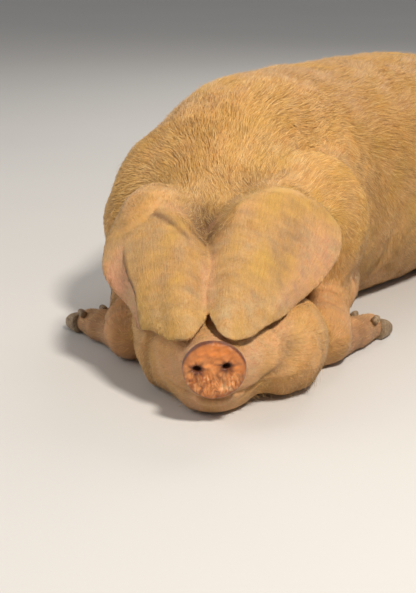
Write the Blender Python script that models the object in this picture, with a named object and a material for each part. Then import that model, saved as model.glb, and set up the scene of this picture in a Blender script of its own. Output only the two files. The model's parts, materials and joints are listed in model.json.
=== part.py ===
# A large lop-eared sow lying on its brisket with its chin on the ground, as separate closed solids.
# Metres, +Z up. The pig faces -Y with its head turned to its left; +X is its left side.
import math
import bpy
import bmesh
import numpy as np
from mathutils import Vector

for o in list(bpy.data.objects):
    bpy.data.objects.remove(o)

GAP = 0.0003          # clearance between two pieces that meet
GRID = 0.010          # spacing of the grid on which the fleshy form is meshed
FLESH_TRIANGLES = 2950
EAR_ROWS, EAR_COLUMNS = 12, 9

# ------------------------------------------------------------------ frames
# Two level frames are used. The head frame: x to the pig's left, y back from the snout, z up.
# The trunk frame: y back along the trunk, x to its left, origin under the withers. The part's own
# frame is the trunk frame moved by SHIFT, so that its origin is under the middle of the whole pig.
TURN = math.radians(38.0)            # how far the head is turned to the left of the trunk
WITHERS = (0.10, 0.72)               # the trunk frame's origin in the head frame
SHIFT = np.array([-0.0222, -0.1862, 0.0])
C, S = math.cos(TURN), math.sin(TURN)


def head_of(P):
    """Trunk-frame points in the head frame."""
    return np.stack([WITHERS[0] + P[:, 0] * C + P[:, 1] * S, WITHERS[1] - P[:, 0] * S + P[:, 1] * C, P[:, 2]], 1)


def trunk_of(H):
    x, y = H[:, 0] - WITHERS[0], H[:, 1] - WITHERS[1]
    return np.stack([x * C - y * S, x * S + y * C, H[:, 2]], 1)


def hp(x, y, z):
    """One head-frame point in the trunk frame."""
    v = trunk_of(np.array([[x, y, z]]))[0]
    return (float(v[0]), float(v[1]), float(v[2]))


# ------------------------------------------------------------------ blends and primitives
def smin(a, b, k):
    h = np.maximum(k - np.abs(a - b), 0.0) / k
    return np.minimum(a, b) - h * h * k * 0.25


def smax(a, b, k):
    return -smin(-a, -b, k)


def sstep(e0, e1, x):
    t = np.clip((x - e0) / (e1 - e0), 0, 1)
    return t * t * (3 - 2 * t)


def ell(P, c, r, yaw=0.0):
    """Ellipsoid of radii r, turned about z by yaw degrees."""
    q = P - np.array(c)
    if yaw:
        a = math.radians(yaw)
        ca, sa = math.cos(a), math.sin(a)
        q = np.stack([q[:, 0] * ca + q[:, 1] * sa, -q[:, 0] * sa + q[:, 1] * ca, q[:, 2]], 1)
    r = np.array(r)
    k0 = np.sqrt(((q / r) ** 2).sum(1))
    k1 = np.sqrt(((q / (r * r)) ** 2).sum(1)) + 1e-9
    return k0 * (k0 - 1) / k1


def cone(P, a, b, ra, rb):
    """A length of limb: a round-ended taper from a to b."""
    a, b = np.array(a, float), np.array(b, float)
    ab = b - a
    t = np.clip(((P - a) @ ab) / (ab @ ab), 0, 1)
    return np.linalg.norm(P - a - t[:, None] * ab, axis=1) - (ra + (rb - ra) * t)


def hermite(knots, n):
    """Smooth resampling of rows of numbers, by the distance along their first two."""
    K = np.array(knots, float)
    s = np.r_[0, np.cumsum(np.linalg.norm(np.diff(K[:, :2], axis=0), axis=1))]
    m = np.zeros_like(K)
    d = np.diff(K, axis=0) / np.diff(s)[:, None]
    m[1:-1] = (d[1:] * np.diff(s)[:-1, None] + d[:-1] * np.diff(s)[1:, None]) / (s[2:] - s[:-2])[:, None]
    m[0], m[-1] = d[0], d[-1]
    u = np.linspace(0, s[-1], n)
    i = np.clip(np.searchsorted(s, u, side="right") - 1, 0, len(s) - 2)
    h = (s[i + 1] - s[i])[:, None]
    t = ((u - s[i]) / h[:, 0])[:, None]
    return ((2 * t**3 - 3 * t**2 + 1) * K[i] + (t**3 - 2 * t**2 + t) * h * m[i]
            + (-2 * t**3 + 3 * t**2) * K[i + 1] + (t**3 - t**2) * h * m[i + 1])


def loft(P, knots, n, power, cap0, cap1):
    """A form lofted along a level line; rows of x, y, centre height, half width, half height up and down."""
    R = hermite(knots, n)
    best = np.full(len(P), 1e9)
    out = np.zeros((len(P), 6))
    for k in range(n - 1):
        a, b = R[k, :2], R[k + 1, :2]
        ab = b - a
        L2 = ab @ ab
        rel = P[:, :2] - a
        tt = (rel @ ab) / L2
        t = np.clip(tt, 0, 1)
        dist = ((rel - t[:, None] * ab) ** 2).sum(1)
        m = dist < best
        if not m.any():
            continue
        best[m] = dist[m]
        L = math.sqrt(L2)
        out[m, 0] = (rel[m, 0] * ab[1] - rel[m, 1] * ab[0]) / L
        over = np.zeros(m.sum())
        if k == 0:
            over = np.where(tt[m] < 0, tt[m] * L / cap0, over)
        if k == n - 2:
            over = np.where(tt[m] > 1, (tt[m] - 1) * L / cap1, over)
        out[m, 1] = over
        out[m, 2:] = R[k, 2:] + t[m, None] * (R[k + 1, 2:] - R[k, 2:])
    lat, over, zc, a, bt, bb = out.T
    w = P[:, 2] - zc
    b = np.where(w > 0, bt, bb)
    ql, qw, qo = np.abs(lat) / a, np.abs(w) / b, np.abs(over)
    p = power
    k0 = (ql ** p + qw ** p + qo ** p + 1e-12) ** (1 / p)
    cap = np.where(over < 0, cap0, cap1)
    g = np.sqrt((ql ** (p - 1) / a) ** 2 + (qw ** (p - 1) / b) ** 2 + (qo ** (p - 1) / cap) ** 2) * k0 ** (1 - p)
    return (k0 - 1) / np.maximum(g, 1e-3)


# ------------------------------------------------------------------ sizes (metres)
HX = 0.008            # the head's midline, in the head frame
DISC_Z = 0.105        # height of the snout disc's middle
DISC_R = 0.0525       # its radius
NOSTRILS = ((0.0310, 0.1135), (-0.0185, 0.1085))   # x and z, left and right
EYE_R = 0.0125

# rows: x, y, height of the middle, half width, half height up, half height down
SKULL = [(HX, 0.014, 0.105, 0.0480, 0.046, 0.043), (HX, 0.040, 0.105, 0.0510, 0.048, 0.050),
         (HX, 0.080, 0.106, 0.0680, 0.056, 0.058), (HX, 0.120, 0.112, 0.0860, 0.065, 0.066),
         (HX, 0.170, 0.126, 0.1020, 0.079, 0.080), (HX, 0.220, 0.145, 0.1120, 0.094, 0.095),
         (HX, 0.270, 0.164, 0.1180, 0.109, 0.105), (HX, 0.320, 0.178, 0.1180, 0.122, 0.115),
         (HX, 0.360, 0.185, 0.1120, 0.118, 0.115), (HX, 0.400, 0.180, 0.1050, 0.115, 0.110)]
JAW = [(HX, 0.034, 0.055, 0.034, 0.020, 0.026), (HX, 0.060, 0.050, 0.050, 0.030, 0.047),
       (HX, 0.100, 0.048, 0.070, 0.040, 0.056), (HX, 0.150, 0.052, 0.090, 0.050, 0.064),
       (HX, 0.200, 0.062, 0.105, 0.060, 0.075), (HX, 0.270, 0.078, 0.115, 0.080, 0.092),
       (HX, 0.340, 0.085, 0.115, 0.090, 0.100)]
NECK = [(0.005, 0.300, 0.165, 0.112, 0.125, 0.170), (0.005, 0.400, 0.175, 0.145, 0.160, 0.185),
        (0.018, 0.500, 0.195, 0.180, 0.202, 0.205), (0.050, 0.605, 0.215, 0.217, 0.245, 0.230),
        (0.098, 0.700, 0.225, 0.244, 0.271, 0.238)]
TRUNK = [(0.0, 0.100, 0.225, 0.256, 0.275, 0.250), (0.0, 0.250, 0.222, 0.268, 0.276, 0.250),
         (0.0, 0.400, 0.220, 0.274, 0.276, 0.250), (0.0, 0.550, 0.220, 0.268, 0.273, 0.248),
         (0.0, 0.700, 0.220, 0.248, 0.258, 0.245), (0.0, 0.820, 0.215, 0.212, 0.232, 0.230),
         (0.0, 0.910, 0.205, 0.165, 0.192, 0.200)]

# forelegs, folded under with the cannon laid back: head-frame points
FORE = {
    -1: dict(shoulder=(-0.100, 0.560, 0.200), elbow=(-0.132, 0.600, 0.105), wrist=(-0.147, 0.385, 0.078),
             knee=(-0.149, 0.352, 0.060), cannon=(-0.152, 0.362, 0.031), fetlock=(-0.213, 0.464, 0.028),
             pastern=(-0.243, 0.508, 0.026)),
    1: dict(shoulder=(0.180, 0.500, 0.200), elbow=(0.230, 0.520, 0.105), wrist=(0.221, 0.348, 0.078),
            knee=(0.220, 0.318, 0.060), cannon=(0.224, 0.328, 0.031), fetlock=(0.293, 0.424, 0.028),
            pastern=(0.324, 0.466, 0.026))}
# hind legs, the shank and cannon laid forward on the floor: trunk-frame points for the left side
HIND = dict(ham=(0.146, 0.728, 0.205), ham_r=(0.134, 0.218, 0.207), thigh=(0.212, 0.610, 0.150),
            stifle=(0.252, 0.480, 0.105), hock=(0.252, 0.795, 0.052), heel=(0.254, 0.818, 0.036),
            fetlock=(0.322, 0.610, 0.028), pastern=(0.342, 0.562, 0.026))

# the left ear's middle surface, head frame: six rows from root to lower edge, each from the inner to the outer side
EAR = [[(0.035, 0.285, 0.270), (0.070, 0.330, 0.280), (0.105, 0.350, 0.262), (0.125, 0.345, 0.225), (0.120, 0.310, 0.180)],
       [(0.011, 0.255, 0.283), (0.075, 0.295, 0.330), (0.135, 0.318, 0.334), (0.195, 0.335, 0.312), (0.228, 0.335, 0.272)],
       [(0.0045, 0.205, 0.258), (0.060, 0.225, 0.295), (0.125, 0.260, 0.300), (0.195, 0.290, 0.275), (0.240, 0.285, 0.235)],
       [(0.0035, 0.140, 0.221), (0.052, 0.145, 0.245), (0.105, 0.170, 0.245), (0.165, 0.210, 0.228), (0.204, 0.235, 0.192)],
       [(0.0035, 0.090, 0.190), (0.042, 0.064, 0.198), (0.085, 0.090, 0.190), (0.125, 0.130, 0.187), (0.152, 0.170, 0.167)],
       [(0.006, 0.058, 0.177), (0.032, 0.015, 0.158), (0.071, 0.046, 0.151), (0.103, 0.088, 0.160), (0.132, 0.125, 0.161)]]
# the right ear is the left one mirrored, folded narrower at the root and with its outer corner hanging:
# per row, width factor, set back, set up, hang of the outer side
EAR_RIGHT = [(0.87, 0.0, 0.0, 0.0), (0.78, -0.010, -0.014, 0.0), (0.80, -0.028, -0.010, 0.0),
             (0.91, -0.006, -0.006, 0.0), (0.98, 0.008, -0.004, -0.008), (1.0, 0.010, -0.004, -0.026)]


def ear_rows(side):
    if side > 0:
        return [[(x, y, z) for x, y, z in row] for row in EAR]
    return [[(-0.97 * x * f - 0.001, y + dy, z + dz + hang * (k / 4) ** 3) for k, (x, y, z) in enumerate(row)]
            for row, (f, dy, dz, hang) in zip(EAR, EAR_RIGHT)]


def catmull(A, axis, n):
    """Smooth resampling of a grid of points along one axis, through every row."""
    A = np.moveaxis(np.array(A, float), axis, 0)
    m = len(A)
    ext = np.concatenate([2 * A[:1] - A[1:2], A, 2 * A[-1:] - A[-2:-1]])
    u = np.linspace(0, m - 1, n)
    i = np.minimum(u.astype(int), m - 2)
    t = (u - i).reshape((-1,) + (1,) * (A.ndim - 1))
    p0, p1, p2, p3 = ext[i], ext[i + 1], ext[i + 2], ext[i + 3]
    out = 0.5 * (2 * p1 + (p2 - p0) * t + (2 * p0 - 5 * p1 + 4 * p2 - p3) * t**2 + (3 * p1 - p0 - 3 * p2 + p3) * t**3)
    return np.moveaxis(out, 0, axis)


def ear_half_thickness(u, v):
    """Half the ear's thickness, u from root to lower edge, v from inner to outer side."""
    t = 0.0032 + 0.0040 * (1 - u) ** 1.5
    return t * (0.6 + 0.4 * np.minimum(1, np.minimum(np.minimum(v, 1 - v), 1 - u) * 8))


def coat_depth(P, H):
    """How far the coat stands off the skin: short on the face and legs, longest along the neck and back."""
    top = sstep(0.14, 0.40, P[:, 2])
    behind = sstep(0.30, 0.42, H[:, 1])
    return 0.0025 + behind * (0.0015 + 0.0055 * top)


def body(P, coat):
    """Signed distance, at trunk-frame points, to the pig without its ears, tail and hooves."""
    H = head_of(P)
    spine = [hp(r[0], r[1], 0)[:2] + r[2:] for r in NECK] + TRUNK
    d = loft(P, spine, 40, 2.25, 0.10, 0.085)
    d = smin(d, ell(P, hp(-0.100, 0.600, 0.225), (0.090, 0.130, 0.150), 10), 0.07)
    d = smin(d, ell(P, hp(0.205, 0.470, 0.235), (0.095, 0.125, 0.145), -20), 0.07)
    hd = smin(loft(H, SKULL, 24, 2.3, 0.012, 0.05), loft(H, JAW, 16, 2.3, 0.02, 0.05), 0.018)
    hd = smin(hd, ell(H, (HX + 0.052, 0.125, 0.092), (0.062, 0.085, 0.062), -20), 0.03)
    hd = smin(hd, ell(H, (HX - 0.042, 0.125, 0.092), (0.055, 0.080, 0.060), 20), 0.03)
    hd = smin(hd, ell(H, (0.131, 0.212, 0.080), (0.090, 0.120, 0.091), -12), 0.03)
    hd = smin(hd, ell(H, (-0.075, 0.245, 0.100), (0.062, 0.115, 0.110)), 0.03)
    hd = smin(hd, ell(H, (0.124, 0.352, 0.243), (0.094, 0.098, 0.103), 12), 0.05)
    hd = smin(hd, ell(H, (-0.096, 0.338, 0.242), (0.081, 0.104, 0.105), -12), 0.05)
    d = smin(d, hd, 0.04)
    for s in (-1, 1):
        F = {k: hp(*v) for k, v in FORE[s].items()}
        leg = cone(P, F["shoulder"], F["elbow"], 0.108, 0.070)
        leg = smin(leg, cone(P, F["elbow"], F["wrist"], 0.064, 0.045), 0.04)
        leg = smin(leg, ell(P, F["knee"], (0.052, 0.054, 0.056)), 0.03)
        leg = smin(leg, cone(P, F["cannon"], F["fetlock"], 0.034, 0.028), 0.015)
        leg = smin(leg, cone(P, F["fetlock"], F["pastern"], 0.033, 0.028), 0.012)
        d = smin(d, leg, 0.022)
        B = {k: (s * v[0],) + v[1:] for k, v in HIND.items()}
        leg = ell(P, B["ham"], HIND["ham_r"])
        leg = smin(leg, cone(P, B["thigh"], B["stifle"], 0.105, 0.075), 0.05)
        leg = smin(leg, cone(P, (s * 0.262, 0.500, 0.085), B["hock"], 0.070, 0.042), 0.03)
        leg = smin(leg, cone(P, B["heel"], B["fetlock"], 0.040, 0.030), 0.015)
        leg = smin(leg, cone(P, B["fetlock"], B["pastern"], 0.034, 0.029), 0.012)
        d = smin(d, leg, 0.042)
    return d - coat * coat_depth(P, H), H


# ------------------------------------------------------------------ surface of a field
CORNERS = [(x, y, z) for x in (0, 1) for y in (0, 1) for z in (0, 1)]


def pinch_table():
    """For each pattern of inner corners of a cell, whether the inner or the outer ones fall apart."""
    def joined(group):
        if not group:
            return True
        seen, todo = {group[0]}, [group[0]]
        while todo:
            a = todo.pop()
            for b in group:
                if b not in seen and sum(abs(p - q) for p, q in zip(CORNERS[a], CORNERS[b])) == 1:
                    seen.add(b)
                    todo.append(b)
        return len(seen) == len(group)
    return np.array([not (joined([k for k in range(8) if c >> k & 1]) and joined([k for k in range(8) if not c >> k & 1]))
                     for c in range(256)])


def polygonize(field, lo, hi, h):
    """Quads along the zero level of a signed field, on a grid of spacing h."""
    lo = np.array(lo, float)
    n = np.ceil((np.array(hi) - lo) / h).astype(int) + 1
    F = np.empty(n)
    gy, gz = np.meshgrid(np.arange(n[1]), np.arange(n[2]), indexing="ij")
    for i in range(n[0]):
        g = np.stack([np.full(gy.size, i), gy.ravel(), gz.ravel()], 1)
        F[i] = field(lo + g * h).reshape(n[1], n[2])
    inside = F < 0
    # a cell whose inner or outer corners aren't joined along its edges would pinch the surface: it is filled
    pinched = pinch_table()
    while True:
        code = np.zeros(n - 1, int)
        for k, (dx, dy, dz) in enumerate(CORNERS):
            code += inside[dx:n[0] - 1 + dx, dy:n[1] - 1 + dy, dz:n[2] - 1 + dz].astype(int) << k
        bad = np.argwhere(pinched[code])
        if not len(bad):
            break
        for c in CORNERS:
            k = tuple((bad + c).T)
            F[k] = np.minimum(F[k], -0.1 * h)
        inside = F < 0
    count = np.array([bin(k).count("1") for k in range(256)])[code]
    idx = np.argwhere((count > 0) & (count < 8))
    vid = np.full(n - 1, -1)
    vid[tuple(idx.T)] = np.arange(len(idx))
    pos, cnt = np.zeros((len(idx), 3)), np.zeros(len(idx))
    for i, a in enumerate(CORNERS):
        for b in CORNERS[i + 1:]:
            if sum(abs(p - q) for p, q in zip(a, b)) != 1:
                continue
            fa, fb = F[tuple((idx + a).T)], F[tuple((idx + b).T)]
            m = (fa < 0) != (fb < 0)
            t = np.where(m, fa / np.where(m, fa - fb, 1), 0)
            pos += np.where(m[:, None], np.array(a) + t[:, None] * (np.array(b) - np.array(a)), 0)
            cnt += m
    V = lo + (idx + pos / cnt[:, None]) * h
    quads = []
    for ax in range(3):
        o1, o2 = [(1, 2), (2, 0), (0, 1)][ax]
        sa, sb = [slice(1, -1)] * 3, [slice(1, -1)] * 3
        sa[ax], sb[ax] = slice(0, n[ax] - 1), slice(1, n[ax])
        A, B = inside[tuple(sa)], inside[tuple(sb)]
        e = np.argwhere(A != B)
        up = A[tuple(e.T)]
        g = e.copy()
        g[:, o1] += 1
        g[:, o2] += 1
        q = []
        for d1, d2 in ((1, 1), (0, 1), (0, 0), (1, 0)):
            k = g.copy()
            k[:, o1] -= d1
            k[:, o2] -= d2
            q.append(vid[tuple(k.T)])
        q = np.stack(q, 1)
        q[~up] = q[~up][:, ::-1]
        quads.append(q)
    return V, np.concatenate(quads)


# ------------------------------------------------------------------ objects
def new_object(name, verts, faces):
    me = bpy.data.meshes.new(name)
    me.from_pydata([tuple(map(float, v)) for v in verts], [], [tuple(map(int, f)) for f in faces])
    me.update()
    ob = bpy.data.objects.new(name, me)
    bpy.context.scene.collection.objects.link(ob)
    return ob


def settle(ob):
    """Applies the modifiers of an object to its mesh."""
    dg = bpy.context.evaluated_depsgraph_get()
    me = bpy.data.meshes.new_from_object(ob.evaluated_get(dg))
    ob.modifiers.clear()
    old = ob.data
    ob.data = me
    bpy.data.meshes.remove(old)


def copy_of(ob, name):
    c = ob.copy()
    c.data = ob.data.copy()
    c.name = name
    bpy.context.scene.collection.objects.link(c)
    return c


def drop(ob):
    bpy.data.objects.remove(ob)


def boolean(ob, tool, kind):
    m = ob.modifiers.new("cut", "BOOLEAN")
    m.operation, m.solver, m.object = kind, "EXACT", tool
    settle(ob)
    tidy(ob)


def tidy(ob):
    """Welds stray points, makes triangles and keeps the largest closed body."""
    bm = bmesh.new()
    bm.from_mesh(ob.data)
    bmesh.ops.remove_doubles(bm, verts=bm.verts, dist=0.00003)
    bmesh.ops.dissolve_degenerate(bm, edges=bm.edges, dist=0.00003)
    bmesh.ops.triangulate(bm, faces=bm.faces)
    bm.faces.ensure_lookup_table()
    left, groups = set(bm.faces), []
    while left:
        seed = left.pop()
        group, todo = {seed}, [seed]
        while todo:
            f = todo.pop()
            for e in f.edges:
                for g in e.link_faces:
                    if g in left:
                        left.remove(g)
                        group.add(g)
                        todo.append(g)
        groups.append(group)
    groups.sort(key=len)
    for group in groups[:-1]:
        bmesh.ops.delete(bm, geom=list(group), context="FACES")
    bmesh.ops.delete(bm, geom=[v for v in bm.verts if not v.link_faces], context="VERTS")
    bm.to_mesh(ob.data)
    bm.free()


def swell(ob, by):
    """Moves a closed form's points out along their normals."""
    bm = bmesh.new()
    bm.from_mesh(ob.data)
    bm.normal_update()
    move = [(v, v.normal.copy() * by * v.calc_shell_factor()) for v in bm.verts]
    for v, d in move:
        v.co += d
    bm.to_mesh(ob.data)
    bm.free()


def hull(name, points):
    bm = bmesh.new()
    vs = [bm.verts.new(p) for p in points]
    r = bmesh.ops.convex_hull(bm, input=vs)
    bmesh.ops.delete(bm, geom=[g for g in r["geom_interior"] + r["geom_unused"] if isinstance(g, bmesh.types.BMVert)],
                     context="VERTS")
    bmesh.ops.recalc_face_normals(bm, faces=bm.faces)
    me = bpy.data.meshes.new(name)
    bm.to_mesh(me)
    bm.free()
    ob = bpy.data.objects.new(name, me)
    bpy.context.scene.collection.objects.link(ob)
    return ob


def part_off(whole, tool, name):
    """Parts the piece inside tool from the whole, leaving the clearance between them."""
    piece = copy_of(whole, name)
    boolean(piece, tool, "INTERSECT")
    swell(tool, GAP)
    boolean(whole, tool, "DIFFERENCE")
    drop(tool)
    return piece


def carve(ob, other, by=GAP):
    """Takes another piece's room, with its clearance, out of an object."""
    t = copy_of(other, "room")
    swell(t, by)
    boolean(ob, t, "DIFFERENCE")
    drop(t)


def closed_rings(name, rings):
    """A closed solid through rings of equal counts, its two ends fanned to their middles."""
    n = len(rings[0])
    V = [p for r in rings for p in r]
    F = []
    for i in range(len(rings) - 1):
        for j in range(n):
            a, b = i * n + j, i * n + (j + 1) % n
            F.append((a, b, b + n, a + n))
    c0, c1 = len(V), len(V) + 1
    V.append(tuple(np.mean(rings[0], axis=0)))
    V.append(tuple(np.mean(rings[-1], axis=0)))
    last = (len(rings) - 1) * n
    for j in range(n):
        F.append((c0, (j + 1) % n, j))
        F.append((c1, last + j, last + (j + 1) % n))
    ob = new_object(name, V, F)
    bm = bmesh.new()
    bm.from_mesh(ob.data)
    bmesh.ops.recalc_face_normals(bm, faces=bm.faces)
    if bm.calc_volume(signed=True) < 0:
        bmesh.ops.reverse_faces(bm, faces=bm.faces)
    bmesh.ops.triangulate(bm, faces=bm.faces)
    bm.to_mesh(ob.data)
    bm.free()
    return ob


# ------------------------------------------------------------------ the fleshy form, whole
def flesh(P):
    d, H = body(P, 1.0)
    front = 0.0175 - H[:, 1]                       # the muzzle stops at the back of the snout disc
    front = np.where(H[:, 1] < 0.05, front, -0.03)
    d = smax(d, -(P[:, 2] + 0.006), 0.012)
    return np.maximum(d, front)


V, Q = polygonize(flesh, (-0.423, -0.783, -0.022), (0.52, 1.03, 0.54), GRID)
whole = new_object("whole", V, Q)
m = whole.modifiers.new("fewer", "DECIMATE")
m.ratio = FLESH_TRIANGLES / (2.0 * len(Q))
m.use_collapse_triangulate = True
settle(whole)
floor_box = hull("floor_box", [(x, y, z) for x in (-0.9, 0.9) for y in (-1.2, 1.4) for z in (-0.2, 0.0)])
boolean(whole, floor_box, "DIFFERENCE")
nose_cut = hull("nose_cut", [hp(x, y, z) for x in (-0.3, 0.3) for y in (-0.3, 0.0178) for z in (-0.1, 0.4)])
boolean(whole, nose_cut, "DIFFERENCE")
drop(nose_cut)

pieces = {}

# ------------------------------------------------------------------ ears
for s, side in ((1, "left"), (-1, "right")):
    G = catmull(catmull(ear_rows(s), 0, EAR_ROWS), 1, EAR_COLUMNS)
    M = trunk_of(G.reshape(-1, 3)).reshape(G.shape)
    du, dv = np.gradient(M, axis=0), np.gradient(M, axis=1)
    N = np.cross(du, dv)
    N /= np.linalg.norm(N, axis=2, keepdims=True)
    u, v = np.meshgrid(np.linspace(0, 1, EAR_ROWS), np.linspace(0, 1, EAR_COLUMNS), indexing="ij")
    T = (ear_half_thickness(u, v) + 0.0012)[..., None]
    nu, nv = EAR_ROWS, EAR_COLUMNS
    A, B = (M + N * T).reshape(-1, 3), (M - N * T).reshape(-1, 3)
    faces = []
    for i in range(nu - 1):
        for j in range(nv - 1):
            a = i * nv + j
            faces.append((a, a + nv, a + nv + 1, a + 1))
            faces.append((nu * nv + a, nu * nv + a + 1, nu * nv + a + nv + 1, nu * nv + a + nv))
    # the rim: a rounded edge round the two long sides and the lower edge, straight across the root
    loop = [(i, 0) for i in range(nu)] + [(nu - 1, j) for j in range(1, nv)] + [(i, nv - 1) for i in range(nu - 2, -1, -1)]
    R = []
    for i, j in loop:
        out = np.zeros(3)
        if j == 0:
            out -= dv[i, j] / np.linalg.norm(dv[i, j])
        if j == nv - 1:
            out += dv[i, j] / np.linalg.norm(dv[i, j])
        if i == nu - 1:
            out += du[i, j] / np.linalg.norm(du[i, j])
        R.append(M[i, j] + out / np.linalg.norm(out) * T[i, j] * 0.8)
    base = 2 * nu * nv
    for k in range(len(loop) - 1):
        (i0, j0), (i1, j1) = loop[k], loop[k + 1]
        a0, a1 = i0 * nv + j0, i1 * nv + j1
        faces.append((a0, base + k, base + k + 1, a1))
        faces.append((base + k, nu * nv + a0, nu * nv + a1, base + k + 1))
    top = [j for j in range(nv)]
    faces.append(tuple(top) + (base + len(loop) - 1,) + tuple(nu * nv + j for j in reversed(top)) + (base,))
    ear = new_object("ear_" + side, np.concatenate([A, B, np.array(R)]), faces)
    bm = bmesh.new()
    bm.from_mesh(ear.data)
    bmesh.ops.triangulate(bm, faces=bm.faces)
    bmesh.ops.recalc_face_normals(bm, faces=bm.faces)
    if bm.calc_volume(signed=True) < 0:
        bmesh.ops.reverse_faces(bm, faces=bm.faces)
    bm.to_mesh(ear.data)
    bm.free()
    carve(ear, whole)
    pieces["ear_" + side] = ear

# ------------------------------------------------------------------ legs parted from the body
fore_plan = {-1: [(-0.108, 0.270), (-0.360, 0.250), (-0.400, 0.680), (-0.105, 0.680)],
             1: [(0.180, 0.262), (0.400, 0.220), (0.480, 0.580), (0.205, 0.630)]}
for s, side in ((1, "left"), (-1, "right")):
    pts = []
    for x, y in fore_plan[s]:
        out = abs(x) > 0.25
        pts += [hp(x, y, -0.05), hp(x, y, 0.205 if out else 0.160)]
    pieces["leg_front_" + side] = part_off(whole, hull("tool", pts), "leg_front_" + side)
for s, side in ((1, "left"), (-1, "right")):
    pts = []
    for x, z in ((0.125, 0.185), (0.430, 0.420)):
        for y in (0.395, 0.960):
            pts += [(s * x, y, -0.05), (s * x, y, z)]
    pieces["leg_hind_" + side] = part_off(whole, hull("tool", pts), "leg_hind_" + side)

# ------------------------------------------------------------------ head, neck, trunk
pieces["head"] = part_off(whole, hull("tool", [hp(x, y, z) for x in (-0.30, 0.30) for y in (-0.30, 0.345)
                                               for z in (-0.1, 0.6)]), "head")
NECK_AT, NECK_TURN = (0.020, 0.520), math.radians(19.0)      # the plane where the neck meets the shoulders
ux, uy = math.cos(NECK_TURN), -math.sin(NECK_TURN)
pts = []
for a in (-0.6, 0.6):
    for b in (0.0, -0.5):
        x = NECK_AT[0] + a * ux + b * math.sin(NECK_TURN)
        y = NECK_AT[1] + a * uy + b * math.cos(NECK_TURN)
        pts += [hp(x, y, -0.1), hp(x, y, 0.7)]
pieces["neck"] = part_off(whole, hull("tool", pts), "neck")
whole.name = "trunk"
pieces["trunk"] = whole

# ------------------------------------------------------------------ snout disc with its nostrils
n = 24
rings = []
for y, r, up in ((0.0175, 0.0485, 0.0), (0.0110, 0.0520, 0.0), (0.0040, 0.0540, 0.0), (-0.0020, 0.0525, 0.0),
                 (-0.0060, 0.0485, 0.0), (-0.0072, 0.0400, 0.0), (-0.0062, 0.0250, 0.0)):
    ring = []
    for k in range(n):
        a = 2 * math.pi * k / n
        x, z = HX + 0.002 + 1.01 * r * math.cos(a), DISC_Z + 0.98 * r * math.sin(a)
        lean = -0.10 * (z - DISC_Z) if y < 0.0100 else 0.0
        ring.append(hp(x, y + lean, z))
    rings.append(ring)
snout = closed_rings("snout", rings)
for (x, z), s in zip(NOSTRILS, (1, -1)):
    rr = []
    for y, k in ((-0.030, 1.10), (-0.004, 1.0), (0.004, 0.80), (0.0095, 0.45)):
        ring = []
        for j in range(10):
            a = 2 * math.pi * j / 10
            dx, dz = 0.0088 * k * math.cos(a), 0.0064 * k * math.sin(a)
            t = s * math.radians(18)
            ring.append(hp(x + dx * math.cos(t) - dz * math.sin(t), y, z + dx * math.sin(t) + dz * math.cos(t)))
        rr.append(ring)
    hole = closed_rings("hole", rr)
    boolean(snout, hole, "DIFFERENCE")
    drop(hole)
tidy(snout)
pieces["snout"] = snout

# ------------------------------------------------------------------ eyes, in their sockets
for s, side in ((1, "left"), (-1, "right")):
    start = np.array([HX + s * 0.050, 0.220, 0.165])
    way = np.array([s * 0.80, -0.45, 0.40])
    way /= np.linalg.norm(way)
    line = start + np.linspace(0, 0.12, 241)[:, None] * way
    d, _ = body(trunk_of(line), 0.0)
    at = line[np.argmax(d > 0)] - way * 0.0085
    rings = []
    for k in range(1, 7):
        a = math.pi * k / 7
        rings.append([hp(at[0] + EYE_R * math.sin(a) * math.cos(b), at[1] + EYE_R * math.sin(a) * math.sin(b),
                         at[2] + EYE_R * math.cos(a)) for b in [2 * math.pi * j / 12 for j in range(12)]])
    eye = closed_rings("eye_" + side, rings)
    carve(pieces["head"], eye)
    pieces["eye_" + side] = eye

# ------------------------------------------------------------------ tail
TAIL = [(0.0, 0.930, 0.352), (0.0, 0.962, 0.364), (0.003, 0.990, 0.358), (0.012, 1.010, 0.332), (0.026, 1.018, 0.295),
        (0.040, 1.018, 0.255), (0.046, 1.016, 0.220), (0.040, 1.018, 0.190)]
line = catmull(np.array(TAIL), 0, 15)
rings = []
for i, p in enumerate(line):
    t = line[min(i + 1, 14)] - line[max(i - 1, 0)]
    t /= np.linalg.norm(t)
    a = np.cross(t, (1.0, 0.0, 0.0))
    a /= np.linalg.norm(a)
    b = np.cross(t, a)
    r = 0.0205 - 0.0135 * i / 14
    rings.append([tuple(p + r * (math.cos(w) * a + math.sin(w) * b)) for w in [2 * math.pi * j / 9 for j in range(9)]])
tail = closed_rings("tail", rings)
carve(tail, pieces["trunk"])
pieces["tail"] = tail


# ------------------------------------------------------------------ hooves and dewclaws
def claw(name, at, way, off, turned):
    """One claw of a foot: flat-soled, rounded above, drawn to a toe. at and way are level; off is its side."""
    side = np.array([-way[1], way[0]])
    rings = []
    for t, w, h, inward in ((0.0, 0.0160, 0.040, 0.0), (0.018, 0.0165, 0.040, 0.0), (0.038, 0.0140, 0.028, 0.0015),
                            (0.052, 0.0090, 0.015, 0.004)):
        ring = []
        for k, (cx, cz) in enumerate(((-1.0, 0.0), (1.0, 0.0), (1.02, 0.45), (0.70, 0.85), (0.0, 1.0), (-0.70, 0.85), (-1.02, 0.45))):
            z = cz * h
            z = (0.0015 + h - z) if turned else z + 0.0002
            x = off - math.copysign(inward, off) + cx * w
            p = np.array(at) + way * t + side * x
            ring.append((p[0], p[1], z))
        rings.append(ring)
    return closed_rings(name, rings)


def dewclaw(name, at, way, off, z, rise):
    side = np.array([-way[1], way[0]])
    rings = []
    for t, r in ((0.0, 0.0085), (0.010, 0.0085), (0.020, 0.0040)):
        c = np.array(at) + way * t + side * off
        rings.append([(c[0] + side[0] * r * math.cos(a), c[1] + side[1] * r * math.cos(a), z + rise * t + r * math.sin(a))
                      for a in [2 * math.pi * k / 5 for k in range(5)]])
    return closed_rings(name, rings)


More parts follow.
